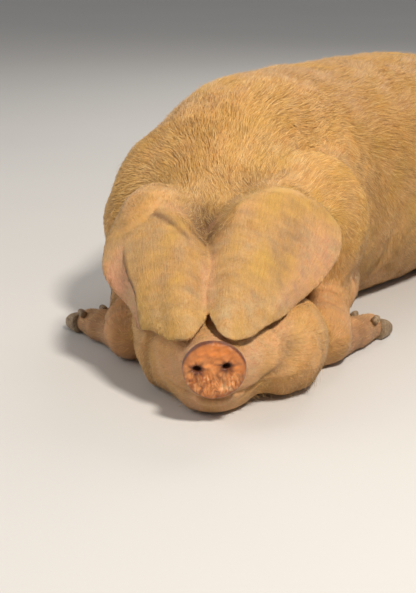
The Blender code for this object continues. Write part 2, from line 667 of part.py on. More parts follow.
FEET = {}
for s, side in ((1, "left"), (-1, "right")):
    f, p = np.array(hp(*FORE[s]["fetlock"])), np.array(hp(*FORE[s]["pastern"]))
    FEET["front_" + side] = (p, (p - f)[:2], True)
    f, p = np.array(HIND["fetlock"]) * (s, 1, 1), np.array(HIND["pastern"]) * (s, 1, 1)
    FEET["hind_" + side] = (p, (p - f)[:2], False)
for foot, (p, way, turned) in FEET.items():
    way = way / np.linalg.norm(way)
    leg = pieces["leg_" + foot]
    for tag, off in (("a", 0.0185), ("b", -0.0185)):
        h = claw("hoof_%s_%s" % (foot, tag), p[:2] + way * 0.010, way, off, turned)
        carve(leg, h)
        pieces[h.name] = h
        spread, z = (1.35, 0.0490) if turned else (1.73, 0.0160)
        d = dewclaw("dewclaw_%s_%s" % (foot, tag), p[:2] - way * 0.022, way, off * spread, z, 0.25 if turned else 0.0)
        carve(leg, d)
        pieces[d.name] = d

# ------------------------------------------------------------------ colours, place, flat shading
SKIN = (0.66, 0.46, 0.30)
COLOURS = {"snout": ((0.52, 0.22, 0.12), 0.45), "ear": ((0.62, 0.42, 0.26), 0.75), "eye": ((0.035, 0.02, 0.015), 0.08),
           "hoof": ((0.33, 0.25, 0.17), 0.5), "dewclaw": ((0.30, 0.22, 0.15), 0.5), "leg": ((0.60, 0.42, 0.27), 0.75),
           "tail": ((0.64, 0.44, 0.32), 0.7), "head": ((0.66, 0.44, 0.32), 0.7)}
for name, ob in pieces.items():
    tidy(ob)
    for v in ob.data.vertices:
        v.co += Vector(SHIFT)
    colour, rough = COLOURS.get(name.split("_")[0], (SKIN, 0.75))
    mat = bpy.data.materials.new(name)
    mat.use_nodes = True
    b = mat.node_tree.nodes["Principled BSDF"]
    b.inputs["Base Color"].default_value = colour + (1.0,)
    b.inputs["Roughness"].default_value = rough
    b.inputs["Metallic"].default_value = 0.0
    ob.data.materials.clear()
    ob.data.materials.append(mat)
drop(floor_box)
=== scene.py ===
import json
import math
import bmesh
import bpy
import numpy as np
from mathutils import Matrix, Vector
from mathutils.bvhtree import BVHTree
from mathutils.kdtree import KDTree

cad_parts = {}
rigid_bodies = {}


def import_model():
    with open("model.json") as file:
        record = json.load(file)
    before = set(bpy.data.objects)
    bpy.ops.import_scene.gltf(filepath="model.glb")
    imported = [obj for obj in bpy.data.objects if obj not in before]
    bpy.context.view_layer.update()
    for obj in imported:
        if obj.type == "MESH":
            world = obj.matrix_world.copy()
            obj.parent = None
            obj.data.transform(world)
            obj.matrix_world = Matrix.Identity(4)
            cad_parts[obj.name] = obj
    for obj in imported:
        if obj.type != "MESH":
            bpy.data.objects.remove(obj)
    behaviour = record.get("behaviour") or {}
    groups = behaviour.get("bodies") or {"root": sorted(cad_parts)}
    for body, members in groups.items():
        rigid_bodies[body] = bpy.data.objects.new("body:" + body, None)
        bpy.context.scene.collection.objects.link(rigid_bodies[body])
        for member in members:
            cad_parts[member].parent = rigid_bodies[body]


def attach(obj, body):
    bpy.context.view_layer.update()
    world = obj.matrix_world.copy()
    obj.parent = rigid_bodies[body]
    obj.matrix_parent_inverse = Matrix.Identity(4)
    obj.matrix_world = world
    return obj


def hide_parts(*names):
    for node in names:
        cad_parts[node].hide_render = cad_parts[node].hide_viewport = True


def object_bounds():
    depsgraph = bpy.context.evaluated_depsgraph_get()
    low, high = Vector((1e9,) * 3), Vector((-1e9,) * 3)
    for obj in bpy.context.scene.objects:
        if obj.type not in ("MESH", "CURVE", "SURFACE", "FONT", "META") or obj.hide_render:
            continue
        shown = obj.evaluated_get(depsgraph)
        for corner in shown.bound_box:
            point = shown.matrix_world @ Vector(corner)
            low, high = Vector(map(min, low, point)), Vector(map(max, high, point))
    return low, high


# A pig lying on its brisket, its head turned 38 degrees to its left and both lop ears down over its eyes.
# The skin is one closed surface over the whole body; the coat is tufts of bristle rooted in it.
for ob in list(bpy.data.objects):
    bpy.data.objects.remove(ob)
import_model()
CAD_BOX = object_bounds()

# ------------------------------------------------------------------ frames
# The head frame: x to the pig's left, y back from the snout, z up. The trunk frame: y back along the
# trunk. Both are level. The row frame is the trunk frame moved by SHIFT.
TURN = math.radians(38.0)
WITHERS = (0.10, 0.72)
SHIFT = np.array([-0.0222, -0.1862, 0.0])
C, S = math.cos(TURN), math.sin(TURN)


def head_of(P):
    return np.stack([WITHERS[0] + P[:, 0] * C + P[:, 1] * S, WITHERS[1] - P[:, 0] * S + P[:, 1] * C, P[:, 2]], 1)


def trunk_of(H):
    x, y = H[:, 0] - WITHERS[0], H[:, 1] - WITHERS[1]
    return np.stack([x * C - y * S, x * S + y * C, H[:, 2]], 1)


def hp(x, y, z):
    """One head-frame point in the trunk frame."""
    v = trunk_of(np.array([[x, y, z]]))[0]
    return (float(v[0]), float(v[1]), float(v[2]))


# ------------------------------------------------------------------ blends and primitives
def smin(a, b, k):
    h = np.maximum(k - np.abs(a - b), 0.0) / k
    return np.minimum(a, b) - h * h * k * 0.25


def smax(a, b, k):
    return -smin(-a, -b, k)


def sstep(e0, e1, x):
    t = np.clip((x - e0) / (e1 - e0), 0, 1)
    return t * t * (3 - 2 * t)


def bell(x, w):
    return np.exp(-(x / w) ** 2)


def ell(P, c, r, yaw=0.0):
    q = P - np.array(c)
    if yaw:
        a = math.radians(yaw)
        ca, sa = math.cos(a), math.sin(a)
        q = np.stack([q[:, 0] * ca + q[:, 1] * sa, -q[:, 0] * sa + q[:, 1] * ca, q[:, 2]], 1)
    r = np.array(r)
    k0 = np.sqrt(((q / r) ** 2).sum(1))
    k1 = np.sqrt(((q / (r * r)) ** 2).sum(1)) + 1e-9
    return k0 * (k0 - 1) / k1


def cone(P, a, b, ra, rb):
    a, b = np.array(a, float), np.array(b, float)
    ab = b - a
    t = np.clip(((P - a) @ ab) / (ab @ ab), 0, 1)
    return np.linalg.norm(P - a - t[:, None] * ab, axis=1) - (ra + (rb - ra) * t)


def hermite(knots, n):
    K = np.array(knots, float)
    s = np.r_[0, np.cumsum(np.linalg.norm(np.diff(K[:, :2], axis=0), axis=1))]
    m = np.zeros_like(K)
    d = np.diff(K, axis=0) / np.diff(s)[:, None]
    m[1:-1] = (d[1:] * np.diff(s)[:-1, None] + d[:-1] * np.diff(s)[1:, None]) / (s[2:] - s[:-2])[:, None]
    m[0], m[-1] = d[0], d[-1]
    u = np.linspace(0, s[-1], n)
    i = np.clip(np.searchsorted(s, u, side="right") - 1, 0, len(s) - 2)
    h = (s[i + 1] - s[i])[:, None]
    t = ((u - s[i]) / h[:, 0])[:, None]
    return ((2 * t**3 - 3 * t**2 + 1) * K[i] + (t**3 - 2 * t**2 + t) * h * m[i]
            + (-2 * t**3 + 3 * t**2) * K[i + 1] + (t**3 - t**2) * h * m[i + 1])


def plan(XY, knots, n, cap0, cap1, use=None):
    """For plan positions beside a lofted form's level line: sideways distance, share of a cap past its ends,
    the section there (middle height, half width, half heights up and down), place along it, and its direction."""
    R = hermite(knots, n)
    out = np.zeros((len(XY), 9))
    out[:, 0], out[:, 3:6] = 10.0, 1.0
    use = np.arange(len(XY)) if use is None else np.flatnonzero(use)
    if not len(use):
        return out
    Q = XY[use]
    best = np.full(len(Q), 1e9)
    part = out[use]
    for k in range(n - 1):
        a, b = R[k, :2], R[k + 1, :2]
        ab = b - a
        rel = Q - a
        tt = (rel @ ab) / (ab @ ab)
        t = np.clip(tt, 0, 1)
        dist = ((rel - t[:, None] * ab) ** 2).sum(1)
        m = np.flatnonzero(dist < best)
        if not len(m):
            continue
        best[m] = dist[m]
        L = math.sqrt(ab @ ab)
        over = np.zeros(len(m))
        if k == 0:
            over = np.where(tt[m] < 0, tt[m] * L / cap0, over)
        if k == n - 2:
            over = np.where(tt[m] > 1, (tt[m] - 1) * L / cap1, over)
        part[m, 0] = (rel[m, 0] * ab[1] - rel[m, 1] * ab[0]) / L
        part[m, 1] = over
        part[m, 2:6] = R[k, 2:] + t[m, None] * (R[k + 1, 2:] - R[k, 2:])
        part[m, 6] = (k + t[m]) / (n - 1)
        part[m, 7:] = ab / L
    out[use] = part
    return out


def rise(rows, z, p, cap0, cap1):
    """Signed distance to a lofted form from its plan rows and the heights."""
    lat, over, zc, a, bt, bb = rows[:, :6].T
    w = z - zc
    b = np.where(w > 0, bt, bb)
    ql, qw, qo = np.abs(lat) / a, np.abs(w) / b, np.abs(over)
    k0 = (ql ** p + qw ** p + qo ** p + 1e-12) ** (1 / p)
    cap = np.where(over < 0, cap0, cap1)
    g = np.sqrt((ql ** (p - 1) / a) ** 2 + (qw ** (p - 1) / b) ** 2 + (qo ** (p - 1) / cap) ** 2) * k0 ** (1 - p)
    return (k0 - 1) / np.maximum(g, 1e-3)


# ------------------------------------------------------------------ sizes (metres)
HX = 0.008            # the head's midline, in the head frame
DISC_Z = 0.105        # height of the snout disc's middle
NOSTRILS = ((0.0310, 0.1135), (-0.0185, 0.1085))   # x and z, left and right
EYE_R = 0.0125

# rows: x, y, height of the middle, half width, half height up, half height down
SKULL = [(HX, 0.014, 0.105, 0.0480, 0.046, 0.043), (HX, 0.040, 0.105, 0.0510, 0.048, 0.050),
         (HX, 0.080, 0.106, 0.0680, 0.056, 0.058), (HX, 0.120, 0.112, 0.0860, 0.065, 0.066),
         (HX, 0.170, 0.126, 0.1020, 0.079, 0.080), (HX, 0.220, 0.145, 0.1120, 0.094, 0.095),
         (HX, 0.270, 0.164, 0.1180, 0.109, 0.105), (HX, 0.320, 0.178, 0.1180, 0.122, 0.115),
         (HX, 0.360, 0.185, 0.1120, 0.118, 0.115), (HX, 0.400, 0.180, 0.1050, 0.115, 0.110)]
JAW = [(HX, 0.034, 0.055, 0.034, 0.020, 0.026), (HX, 0.060, 0.050, 0.050, 0.030, 0.047),
       (HX, 0.100, 0.048, 0.070, 0.040, 0.056), (HX, 0.150, 0.052, 0.090, 0.050, 0.064),
       (HX, 0.200, 0.062, 0.105, 0.060, 0.075), (HX, 0.270, 0.078, 0.115, 0.080, 0.092),
       (HX, 0.340, 0.085, 0.115, 0.090, 0.100)]
NECK = [(0.005, 0.300, 0.165, 0.112, 0.125, 0.170), (0.005, 0.400, 0.175, 0.145, 0.160, 0.185),
        (0.018, 0.500, 0.195, 0.180, 0.202, 0.205), (0.050, 0.605, 0.215, 0.217, 0.245, 0.230),
        (0.098, 0.700, 0.225, 0.244, 0.271, 0.238)]
TRUNK = [(0.0, 0.100, 0.225, 0.256, 0.275, 0.250), (0.0, 0.250, 0.222, 0.268, 0.276, 0.250),
         (0.0, 0.400, 0.220, 0.274, 0.276, 0.250), (0.0, 0.550, 0.220, 0.268, 0.273, 0.248),
         (0.0, 0.700, 0.220, 0.248, 0.258, 0.245), (0.0, 0.820, 0.215, 0.212, 0.232, 0.230),
         (0.0, 0.910, 0.205, 0.165, 0.192, 0.200)]
SPINE = [hp(r[0], r[1], 0)[:2] + r[2:] for r in NECK] + TRUNK

# forelegs, folded under with the cannon laid back: head-frame points
FORE = {
    -1: dict(shoulder=(-0.100, 0.560, 0.200), elbow=(-0.132, 0.600, 0.105), wrist=(-0.147, 0.385, 0.078),
             knee=(-0.149, 0.352, 0.060), cannon=(-0.152, 0.362, 0.031), fetlock=(-0.213, 0.464, 0.028),
             pastern=(-0.243, 0.508, 0.026)),
    1: dict(shoulder=(0.180, 0.500, 0.200), elbow=(0.230, 0.520, 0.105), wrist=(0.221, 0.348, 0.078),
            knee=(0.220, 0.318, 0.060), cannon=(0.224, 0.328, 0.031), fetlock=(0.293, 0.424, 0.028),
            pastern=(0.324, 0.466, 0.026))}
# hind legs, the shank and cannon laid forward on the floor: trunk-frame points for the left side
HIND = dict(ham=(0.146, 0.728, 0.205), ham_r=(0.134, 0.218, 0.207), thigh=(0.212, 0.610, 0.150),
            stifle=(0.252, 0.480, 0.105), hock=(0.252, 0.795, 0.052), heel=(0.254, 0.818, 0.036),
            fetlock=(0.322, 0.610, 0.028), pastern=(0.342, 0.562, 0.026))
TAIL = [(0.0, 0.930, 0.352), (0.0, 0.962, 0.364), (0.003, 0.990, 0.358), (0.012, 1.010, 0.332), (0.026, 1.018, 0.295),
        (0.040, 1.018, 0.255), (0.046, 1.016, 0.220), (0.040, 1.018, 0.190)]

# the left ear's middle surface, head frame: six rows from root to lower edge, each from the inner to the outer side
EAR = [[(0.035, 0.285, 0.270), (0.070, 0.330, 0.280), (0.105, 0.350, 0.262), (0.125, 0.345, 0.225), (0.120, 0.310, 0.180)],
       [(0.011, 0.255, 0.283), (0.075, 0.295, 0.330), (0.135, 0.318, 0.334), (0.195, 0.335, 0.312), (0.228, 0.335, 0.272)],
       [(0.0045, 0.205, 0.258), (0.060, 0.225, 0.295), (0.125, 0.260, 0.300), (0.195, 0.290, 0.275), (0.240, 0.285, 0.235)],
       [(0.0035, 0.140, 0.221), (0.052, 0.145, 0.245), (0.105, 0.170, 0.245), (0.165, 0.210, 0.228), (0.204, 0.235, 0.192)],
       [(0.0035, 0.090, 0.190), (0.042, 0.064, 0.198), (0.085, 0.090, 0.190), (0.125, 0.130, 0.187), (0.152, 0.170, 0.167)],
       [(0.006, 0.058, 0.177), (0.032, 0.015, 0.158), (0.071, 0.046, 0.151), (0.103, 0.088, 0.160), (0.132, 0.125, 0.161)]]
# the right ear is the left one mirrored, folded narrower at the root and with its outer corner hanging:
# per row, width factor, set back, set up, hang of the outer side
EAR_RIGHT = [(0.87, 0.0, 0.0, 0.0), (0.78, -0.010, -0.014, 0.0), (0.80, -0.028, -0.010, 0.0),
             (0.91, -0.006, -0.006, 0.0), (0.98, 0.008, -0.004, -0.008), (1.0, 0.010, -0.004, -0.026)]


def ear_rows(side):
    if side > 0:
        return [[(x, y, z) for x, y, z in row] for row in EAR]
    return [[(-0.97 * x * f - 0.001, y + dy, z + dz + hang * (k / 4) ** 3) for k, (x, y, z) in enumerate(row)]
            for row, (f, dy, dz, hang) in zip(EAR, EAR_RIGHT)]


def catmull(A, axis, n):
    A = np.moveaxis(np.array(A, float), axis, 0)
    m = len(A)
    ext = np.concatenate([2 * A[:1] - A[1:2], A, 2 * A[-1:] - A[-2:-1]])
    u = np.linspace(0, m - 1, n)
    i = np.minimum(u.astype(int), m - 2)
    t = (u - i).reshape((-1,) + (1,) * (A.ndim - 1))
    p0, p1, p2, p3 = ext[i], ext[i + 1], ext[i + 2], ext[i + 3]
    out = 0.5 * (2 * p1 + (p2 - p0) * t + (2 * p0 - 5 * p1 + 4 * p2 - p3) * t**2 + (3 * p1 - p0 - 3 * p2 + p3) * t**3)
    return np.moveaxis(out, 0, axis)


def coat_depth(P, H):
    """How far the coat stands off the skin: short on the face and legs, longest along the neck and back."""
    top = sstep(0.14, 0.40, P[:, 2])
    behind = sstep(0.30, 0.42, H[:, 1])
    return 0.0025 + behind * (0.0015 + 0.0055 * top)


def leg_parts():
    """Each leg as (start, end, start radius, end radius, blend) lengths, from the body down to the foot."""
    legs = []
    for s in (-1, 1):
        F = {k: hp(*v) for k, v in FORE[s].items()}
        legs.append([("cone", F["shoulder"], F["elbow"], 0.108, 0.070, 0.0), ("cone", F["elbow"], F["wrist"], 0.064, 0.045, 0.04),
                     ("ball", F["knee"], (0.052, 0.054, 0.056), 0, 0, 0.03), ("cone", F["cannon"], F["fetlock"], 0.034, 0.028, 0.015),
                     ("cone", F["fetlock"], F["pastern"], 0.033, 0.028, 0.012)])
    for s in (-1, 1):
        B = {k: (s * v[0],) + v[1:] for k, v in HIND.items() if k != "ham_r"}
        legs.append([("ball", B["ham"], HIND["ham_r"], 0, 0, 0.0), ("cone", B["thigh"], B["stifle"], 0.105, 0.075, 0.05),
                     ("cone", (s * 0.262, 0.500, 0.085), B["hock"], 0.070, 0.042, 0.03),
                     ("cone", B["heel"], B["fetlock"], 0.040, 0.030, 0.015), ("cone", B["fetlock"], B["pastern"], 0.034, 0.029, 0.012)])
    return legs


LEGS = leg_parts()          # front right, front left, hind right, hind left
LEG_BLEND = (0.022, 0.022, 0.042, 0.042)


def leg_field(P, leg):
    d = None
    for kind, a, b, ra, rb, k in leg:
        e = cone(P, a, b, ra, rb) if kind == "cone" else ell(P, a, b)
        d = e if d is None else smin(d, e, k)
    return d


def forms(P, XY=None, col=None):
    """Distances, at trunk-frame points, to the body with its head, and to the head and the four legs by themselves."""
    if XY is None:
        XY, col = P[:, :2], slice(None)
    H = head_of(P)
    HXY = head_of(np.c_[XY, np.zeros(len(XY))])[:, :2]
    d = rise(plan(XY, SPINE, 40, 0.10, 0.085, HXY[:, 1] > 0.12)[col], P[:, 2], 2.25, 0.10, 0.085)
    d = smin(d, ell(P, hp(-0.100, 0.600, 0.225), (0.090, 0.130, 0.150), 10), 0.07)
    d = smin(d, ell(P, hp(0.205, 0.470, 0.235), (0.095, 0.125, 0.145), -20), 0.07)
    front = HXY[:, 1] < 0.54
    hd = smin(rise(plan(HXY, SKULL, 24, 0.012, 0.05, front)[col], P[:, 2], 2.3, 0.012, 0.05),
              rise(plan(HXY, JAW, 16, 0.02, 0.05, front)[col], P[:, 2], 2.3, 0.02, 0.05), 0.018)
    hd = smin(hd, ell(H, (HX + 0.052, 0.125, 0.092), (0.062, 0.085, 0.062), -20), 0.03)
    hd = smin(hd, ell(H, (HX - 0.042, 0.125, 0.092), (0.055, 0.080, 0.060), 20), 0.03)
    hd = smin(hd, ell(H, (0.131, 0.212, 0.080), (0.090, 0.120, 0.091), -12), 0.03)
    hd = smin(hd, ell(H, (-0.075, 0.245, 0.100), (0.062, 0.115, 0.110)), 0.03)
    hd = smin(hd, ell(H, (0.124, 0.352, 0.243), (0.094, 0.098, 0.103), 12), 0.05)
    hd = smin(hd, ell(H, (-0.096, 0.338, 0.242), (0.081, 0.104, 0.105), -12), 0.05)
    d = smin(d, hd, 0.04)
    legs = []
    for leg, k in zip(LEGS, LEG_BLEND):
        e = leg_field(P, leg)
        legs.append(e)
        d = smin(d, e, k)
    return d, hd, legs, H


# ------------------------------------------------------------------ the ears
class Ear:
    """One ear's middle surface, finely divided, with its directions and the thickness round it."""

    def __init__(self, side, nu=90, nv=72):
        self.side, self.nu, self.nv = side, nu, nv
        G = catmull(catmull(ear_rows(side), 0, nu), 1, nv)
        self.M = trunk_of(G.reshape(-1, 3)).reshape(G.shape)
        for again in (0, 1):
            self.du, self.dv = np.gradient(self.M, axis=0), np.gradient(self.M, axis=1)
            n = np.cross(self.du, self.dv) * side
            self.n = n / np.linalg.norm(n, axis=2, keepdims=True)      # out, away from the head
            if side < 0 and not again:
                # the right ear's outer lobe is turned back under the flap's edge
                u, v = np.meshgrid(np.linspace(0, 1, nu), np.linspace(0, 1, nv), indexing="ij")
                edge = 0.725 + 0.14 * sstep(0.70, 0.95, u)
                self.M = self.M - self.n * (0.0095 * sstep(0.0, 0.030, v - edge) * sstep(0.40, 0.66, u))[..., None]
        i, j = np.meshgrid(np.arange(nu - 1), np.arange(nv - 1), indexing="ij")
        a = (i * nv + j).ravel()
        T = self.M.reshape(-1, 3)
        self.tree = BVHTree.FromPolygons(T.tolist(), np.stack([a, a + 1, a + nv + 1, a + nv], 1).tolist())
        self.lo, self.hi = T.min(0), T.max(0)

    def near(self, P, reach):
        """Distance to the middle surface, and the cell of it, for the points near it."""
        d, cell = np.full(len(P), 1.0), np.zeros((len(P), 2), int)
        find, n1 = self.tree.find_nearest, self.nv - 1
        for q in np.flatnonzero(((P > self.lo - reach) & (P < self.hi + reach)).all(1)):
            _, _, at, dist = find(P[q].tolist(), reach)
            if at is not None:
                d[q] = dist
                cell[q] = divmod(at, n1)
        return d, cell

    def thickness(self, cell):
        u, v = cell[:, 0] / (self.nu - 2), cell[:, 1] / (self.nv - 2)
        t = 0.0034 + 0.0038 * (1 - u) ** 1.5
        rim = 0.86 + 0.14 * np.minimum(1, np.minimum(np.minimum(v, 1 - v), 1 - u) * 9)
        veins = 0.00045 * np.sin(31 * v + 3.0 * np.sin(4.2 * u + 1.3 * self.side)) * sstep(0.1, 0.4, u)
        folds = 0.0007 * np.sin(9.5 * u + 5.0 * v + self.side) + 0.0005 * np.sin(17.0 * v - 6.0 * u)
        if self.side < 0:      # a crease across the root
            folds = folds - 0.0022 * bell(u - 0.31 - 0.26 * np.maximum(0.5 - v, 0), 0.018) * sstep(0.15, 0.28, v) * (1 - sstep(0.50, 0.68, v))
        return t * rim + veins + folds, u

    def field(self, P, reach=0.03):
        d, cell = self.near(P, reach)
        t, u = self.thickness(cell)
        return np.where(d < reach, d - t, 1.0), np.where(d < reach, u, 0.0)


EARS = [Ear(1), Ear(-1)]

# ------------------------------------------------------------------ the skin's own detail
def ripple(P, scale, seed, n=7):
    """A smooth wandering field, about -1 to 1, with features about scale across."""
    r = np.random.default_rng(seed)
    K = r.normal(size=(n, 3))
    K *= (2 * math.pi / scale * r.uniform(0.6, 1.4, n) / np.linalg.norm(K, axis=1))[:, None]
    return np.sin(P @ K.T + r.uniform(0, 2 * math.pi, n)).sum(1) / math.sqrt(n)


def eye_places():
    """The eyes' middles and the ways they look, in the head frame, as the solids have them."""
    out = []
    for s in (1, -1):
        way = np.array([s * 0.80, -0.45, 0.40])
        way /= np.linalg.norm(way)
        line = np.array([HX + s * 0.050, 0.220, 0.165]) + np.linspace(0, 0.12, 241)[:, None] * way
        d = forms(trunk_of(line))[0]
        out.append((line[np.argmax(d > 0)] - way * 0.0085, way))
    return out


EYES = eye_places()


def disc_radius(H):
    return np.hypot((H[:, 0] - HX - 0.002) / 1.01, (H[:, 2] - DISC_Z) / 0.98)


def nostril_reach(H, k):
    """How far points are from a nostril's middle, 1 at its rim."""
    (nx, nz), s = NOSTRILS[k], (1, -1)[k]
    dx, dz = H[:, 0] - nx, H[:, 2] - nz
    t = s * math.radians(18)
    a, b = dx * math.cos(t) + dz * math.sin(t), -dx * math.sin(t) + dz * math.cos(t)
    slim = 1 - 0.5 * sstep(-0.004, 0.022, H[:, 1])
    return np.sqrt((a / (0.0074 * slim)) ** 2 + (b / (0.0054 * slim)) ** 2)


def face_detail(d, H):
    """The snout disc, nostrils, lips, wrinkles, cheek creases and eyelids, added to the head's smooth form."""
    x, y, z = H.T
    X = x - HX
    # wrinkles across the bridge of the snout, running down to its sides
    over = sstep(0.020, 0.034, y) * (1 - sstep(0.105, 0.150, y)) * sstep(0.085, 0.120, z)
    bow = y + 0.9 * X * X / 0.06 + 0.0025 * np.sin(60 * X + 1.0)
    d = d + over * 0.0013 * np.sin(2 * math.pi * bow / 0.0125) * (0.7 + 0.3 * np.sin(95 * X + 240 * y))
    # folds from beside the disc, back along the cheek
    side = sstep(0.030, 0.045, np.abs(X)) * sstep(0.012, 0.024, y) * (1 - sstep(0.085, 0.120, y))
    d = d + side * 0.0009 * (bell(z - (0.083 + 0.35 * (y - 0.03)), 0.0042) + bell(z - (0.122 + 0.55 * (y - 0.03)), 0.0045))
    # the mouth's line and the lip above it
    lip = 0.0470 + 0.05 * y + 1.2 * np.maximum(y - 0.05, 0) ** 2 + 0.0015 * np.sin(70 * y)
    long = sstep(0.004, 0.014, y) * (1 - sstep(0.070, 0.115, y))
    d = d + long * (0.0044 * bell(z - lip, 0.0038) - 0.0014 * bell(z - lip - 0.010, 0.0065) - 0.0010 * bell(z - lip + 0.011, 0.006))
    # the crease between cheek and jowl, on each side, and the folds of the jowl behind it
    for s, k, folds in ((1, 1.0, ((0.085, 0.55, 0.0036, 0.0075), (0.158, -0.20, 0.0018, 0.0100), (0.238, -0.35, 0.0022, 0.010))),
                        (-1, 0.7, ((0.148, -0.35, 0.0042, 0.0065), (0.238, -0.35, 0.0026, 0.010)))):
        m = sstep(0.020, 0.045, s * X) * sstep(0.020, 0.045, z) * (1 - sstep(0.150, 0.200, z))
        for at, lean, deep, w in folds:
            mid = at + lean * (z - 0.075) + 0.004 * np.sin(38 * z + at * 60)
            d = d + k * m * (deep * bell(y - mid, w) - 0.35 * deep * bell(y - mid - 2.0 * w, 1.3 * w))
    # soft rolls of the cheeks
    d = d - 0.0016 * sstep(0.05, 0.09, y) * ripple(H * (1, 1, 1), 0.060, 3) * (1 - sstep(0.30, 0.40, y))
    # the disc: a low-domed pad with a raised rim and a groove behind it
    r = disc_radius(H)
    yy = y + 0.10 * (z - DISC_Z)
    ang = np.arctan2(z - DISC_Z, x - HX - 0.002)
    rim = 0.0535 + 0.0006 * np.sin(3 * ang + 0.6) + 0.0004 * np.sin(7 * ang)
    face = -0.0052 + 0.0026 * (1 - sstep(0.010, 0.042, r)) + 0.0008 * bell(r - 0.0475, 0.0022) * (1 - sstep(0.095, 0.110, z))
    # the upper half swells forward, the middle stands between the nostrils, which lie in hollows
    face = face - 0.0036 * bell(X - 0.001, 0.024) * bell(z - DISC_Z - 0.027, 0.0135)
    face = face - 0.0012 * bell(X - 0.002, 0.0065) * bell(z - DISC_Z, 0.015)
    for k in (0, 1):
        face = face + 0.0018 * bell(nostril_reach(H, k), 2.3)
    face = face + 0.0012 * bell(X - 0.0055, 0.0030) * (1 - sstep(0.098, 0.106, z))
    # a thick upper border, furrows running down below the nostrils, and slight pits and lumps
    furrow = np.sin(X * 620 + 2.6 * np.sin(70 * z + 40 * X) + 2.2 * np.sin(190 * X + 1.0))
    face = face + 0.00065 * furrow * (1 - sstep(0.088, 0.106, z)) * (1 - sstep(0.040, 0.048, r))
    face = face + 0.00045 * ripple(H, 0.0085, 14) + 0.0009 * ripple(H, 0.019, 15)
    disc = smax(smax(r - rim, face - yy, 0.009), yy - 0.0145, 0.008)
    d = smin(d, disc, 0.0045)
    d = d + 0.0014 * bell(yy - 0.0195, 0.0042) * bell(r - 0.050, 0.010)
    for k in (0, 1):
        q = nostril_reach(H, k)
        ray = np.arctan2(z - NOSTRILS[k][1], x - NOSTRILS[k][0])
        d = d - 0.0010 * bell(q - 1.7, 0.50) * (1 - sstep(0.0, 0.006, y))
        d = d + 0.00045 * np.sin(11 * ray + k) * bell(q - 1.5, 0.55) * (1 - sstep(0.0, 0.006, y))
        pit = smax((q - 1) * 0.0062, yy - 0.026, 0.004)
        d = np.where(y < 0.05, smax(d, -pit, 0.0024), d)
    # eyelids: a soft mound over each eye, opened by an almond-shaped slit, and creases round it
    for (c, way), s in zip(EYES, (1, -1)):
        q = H - c
        far = np.linalg.norm(q, axis=1)
        near = far < 0.06
        if not near.any():
            continue
        q, dn = q[near], d[near]
        up = np.array([0, 0, 1.0]) - way * way[2]
        up /= np.linalg.norm(up)
        across = np.cross(way, up)
        a, b, w = q @ across, q @ up, q @ way
        rad = far[near]
        dn = smin(dn, np.sqrt((a / 1.25) ** 2 + (b / 1.0) ** 2 + w * w) - (EYE_R + 0.0022), 0.009)
        slit = 0.0050 * (1 - np.minimum(1, (a / 0.0125) ** 2)) - np.abs(b + 0.0006 - 0.05 * a)
        open_ = sstep(-0.0010, 0.0008, slit) * sstep(0.0, 0.004, w)
        dn = dn + open_ * np.maximum(0, (rad < 0.03) * 0.0046)
        for off, dep in ((0.0085, 0.0012), (0.0120, 0.0008), (-0.0090, 0.0012), (-0.0130, 0.0009)):
            line = b - off * (1 - 0.5 * (a / 0.018) ** 2)
            dn = dn + dep * bell(line, 0.0013) * bell(a, 0.014) * sstep(0, 0.006, w)
        d[near] = dn
    return d


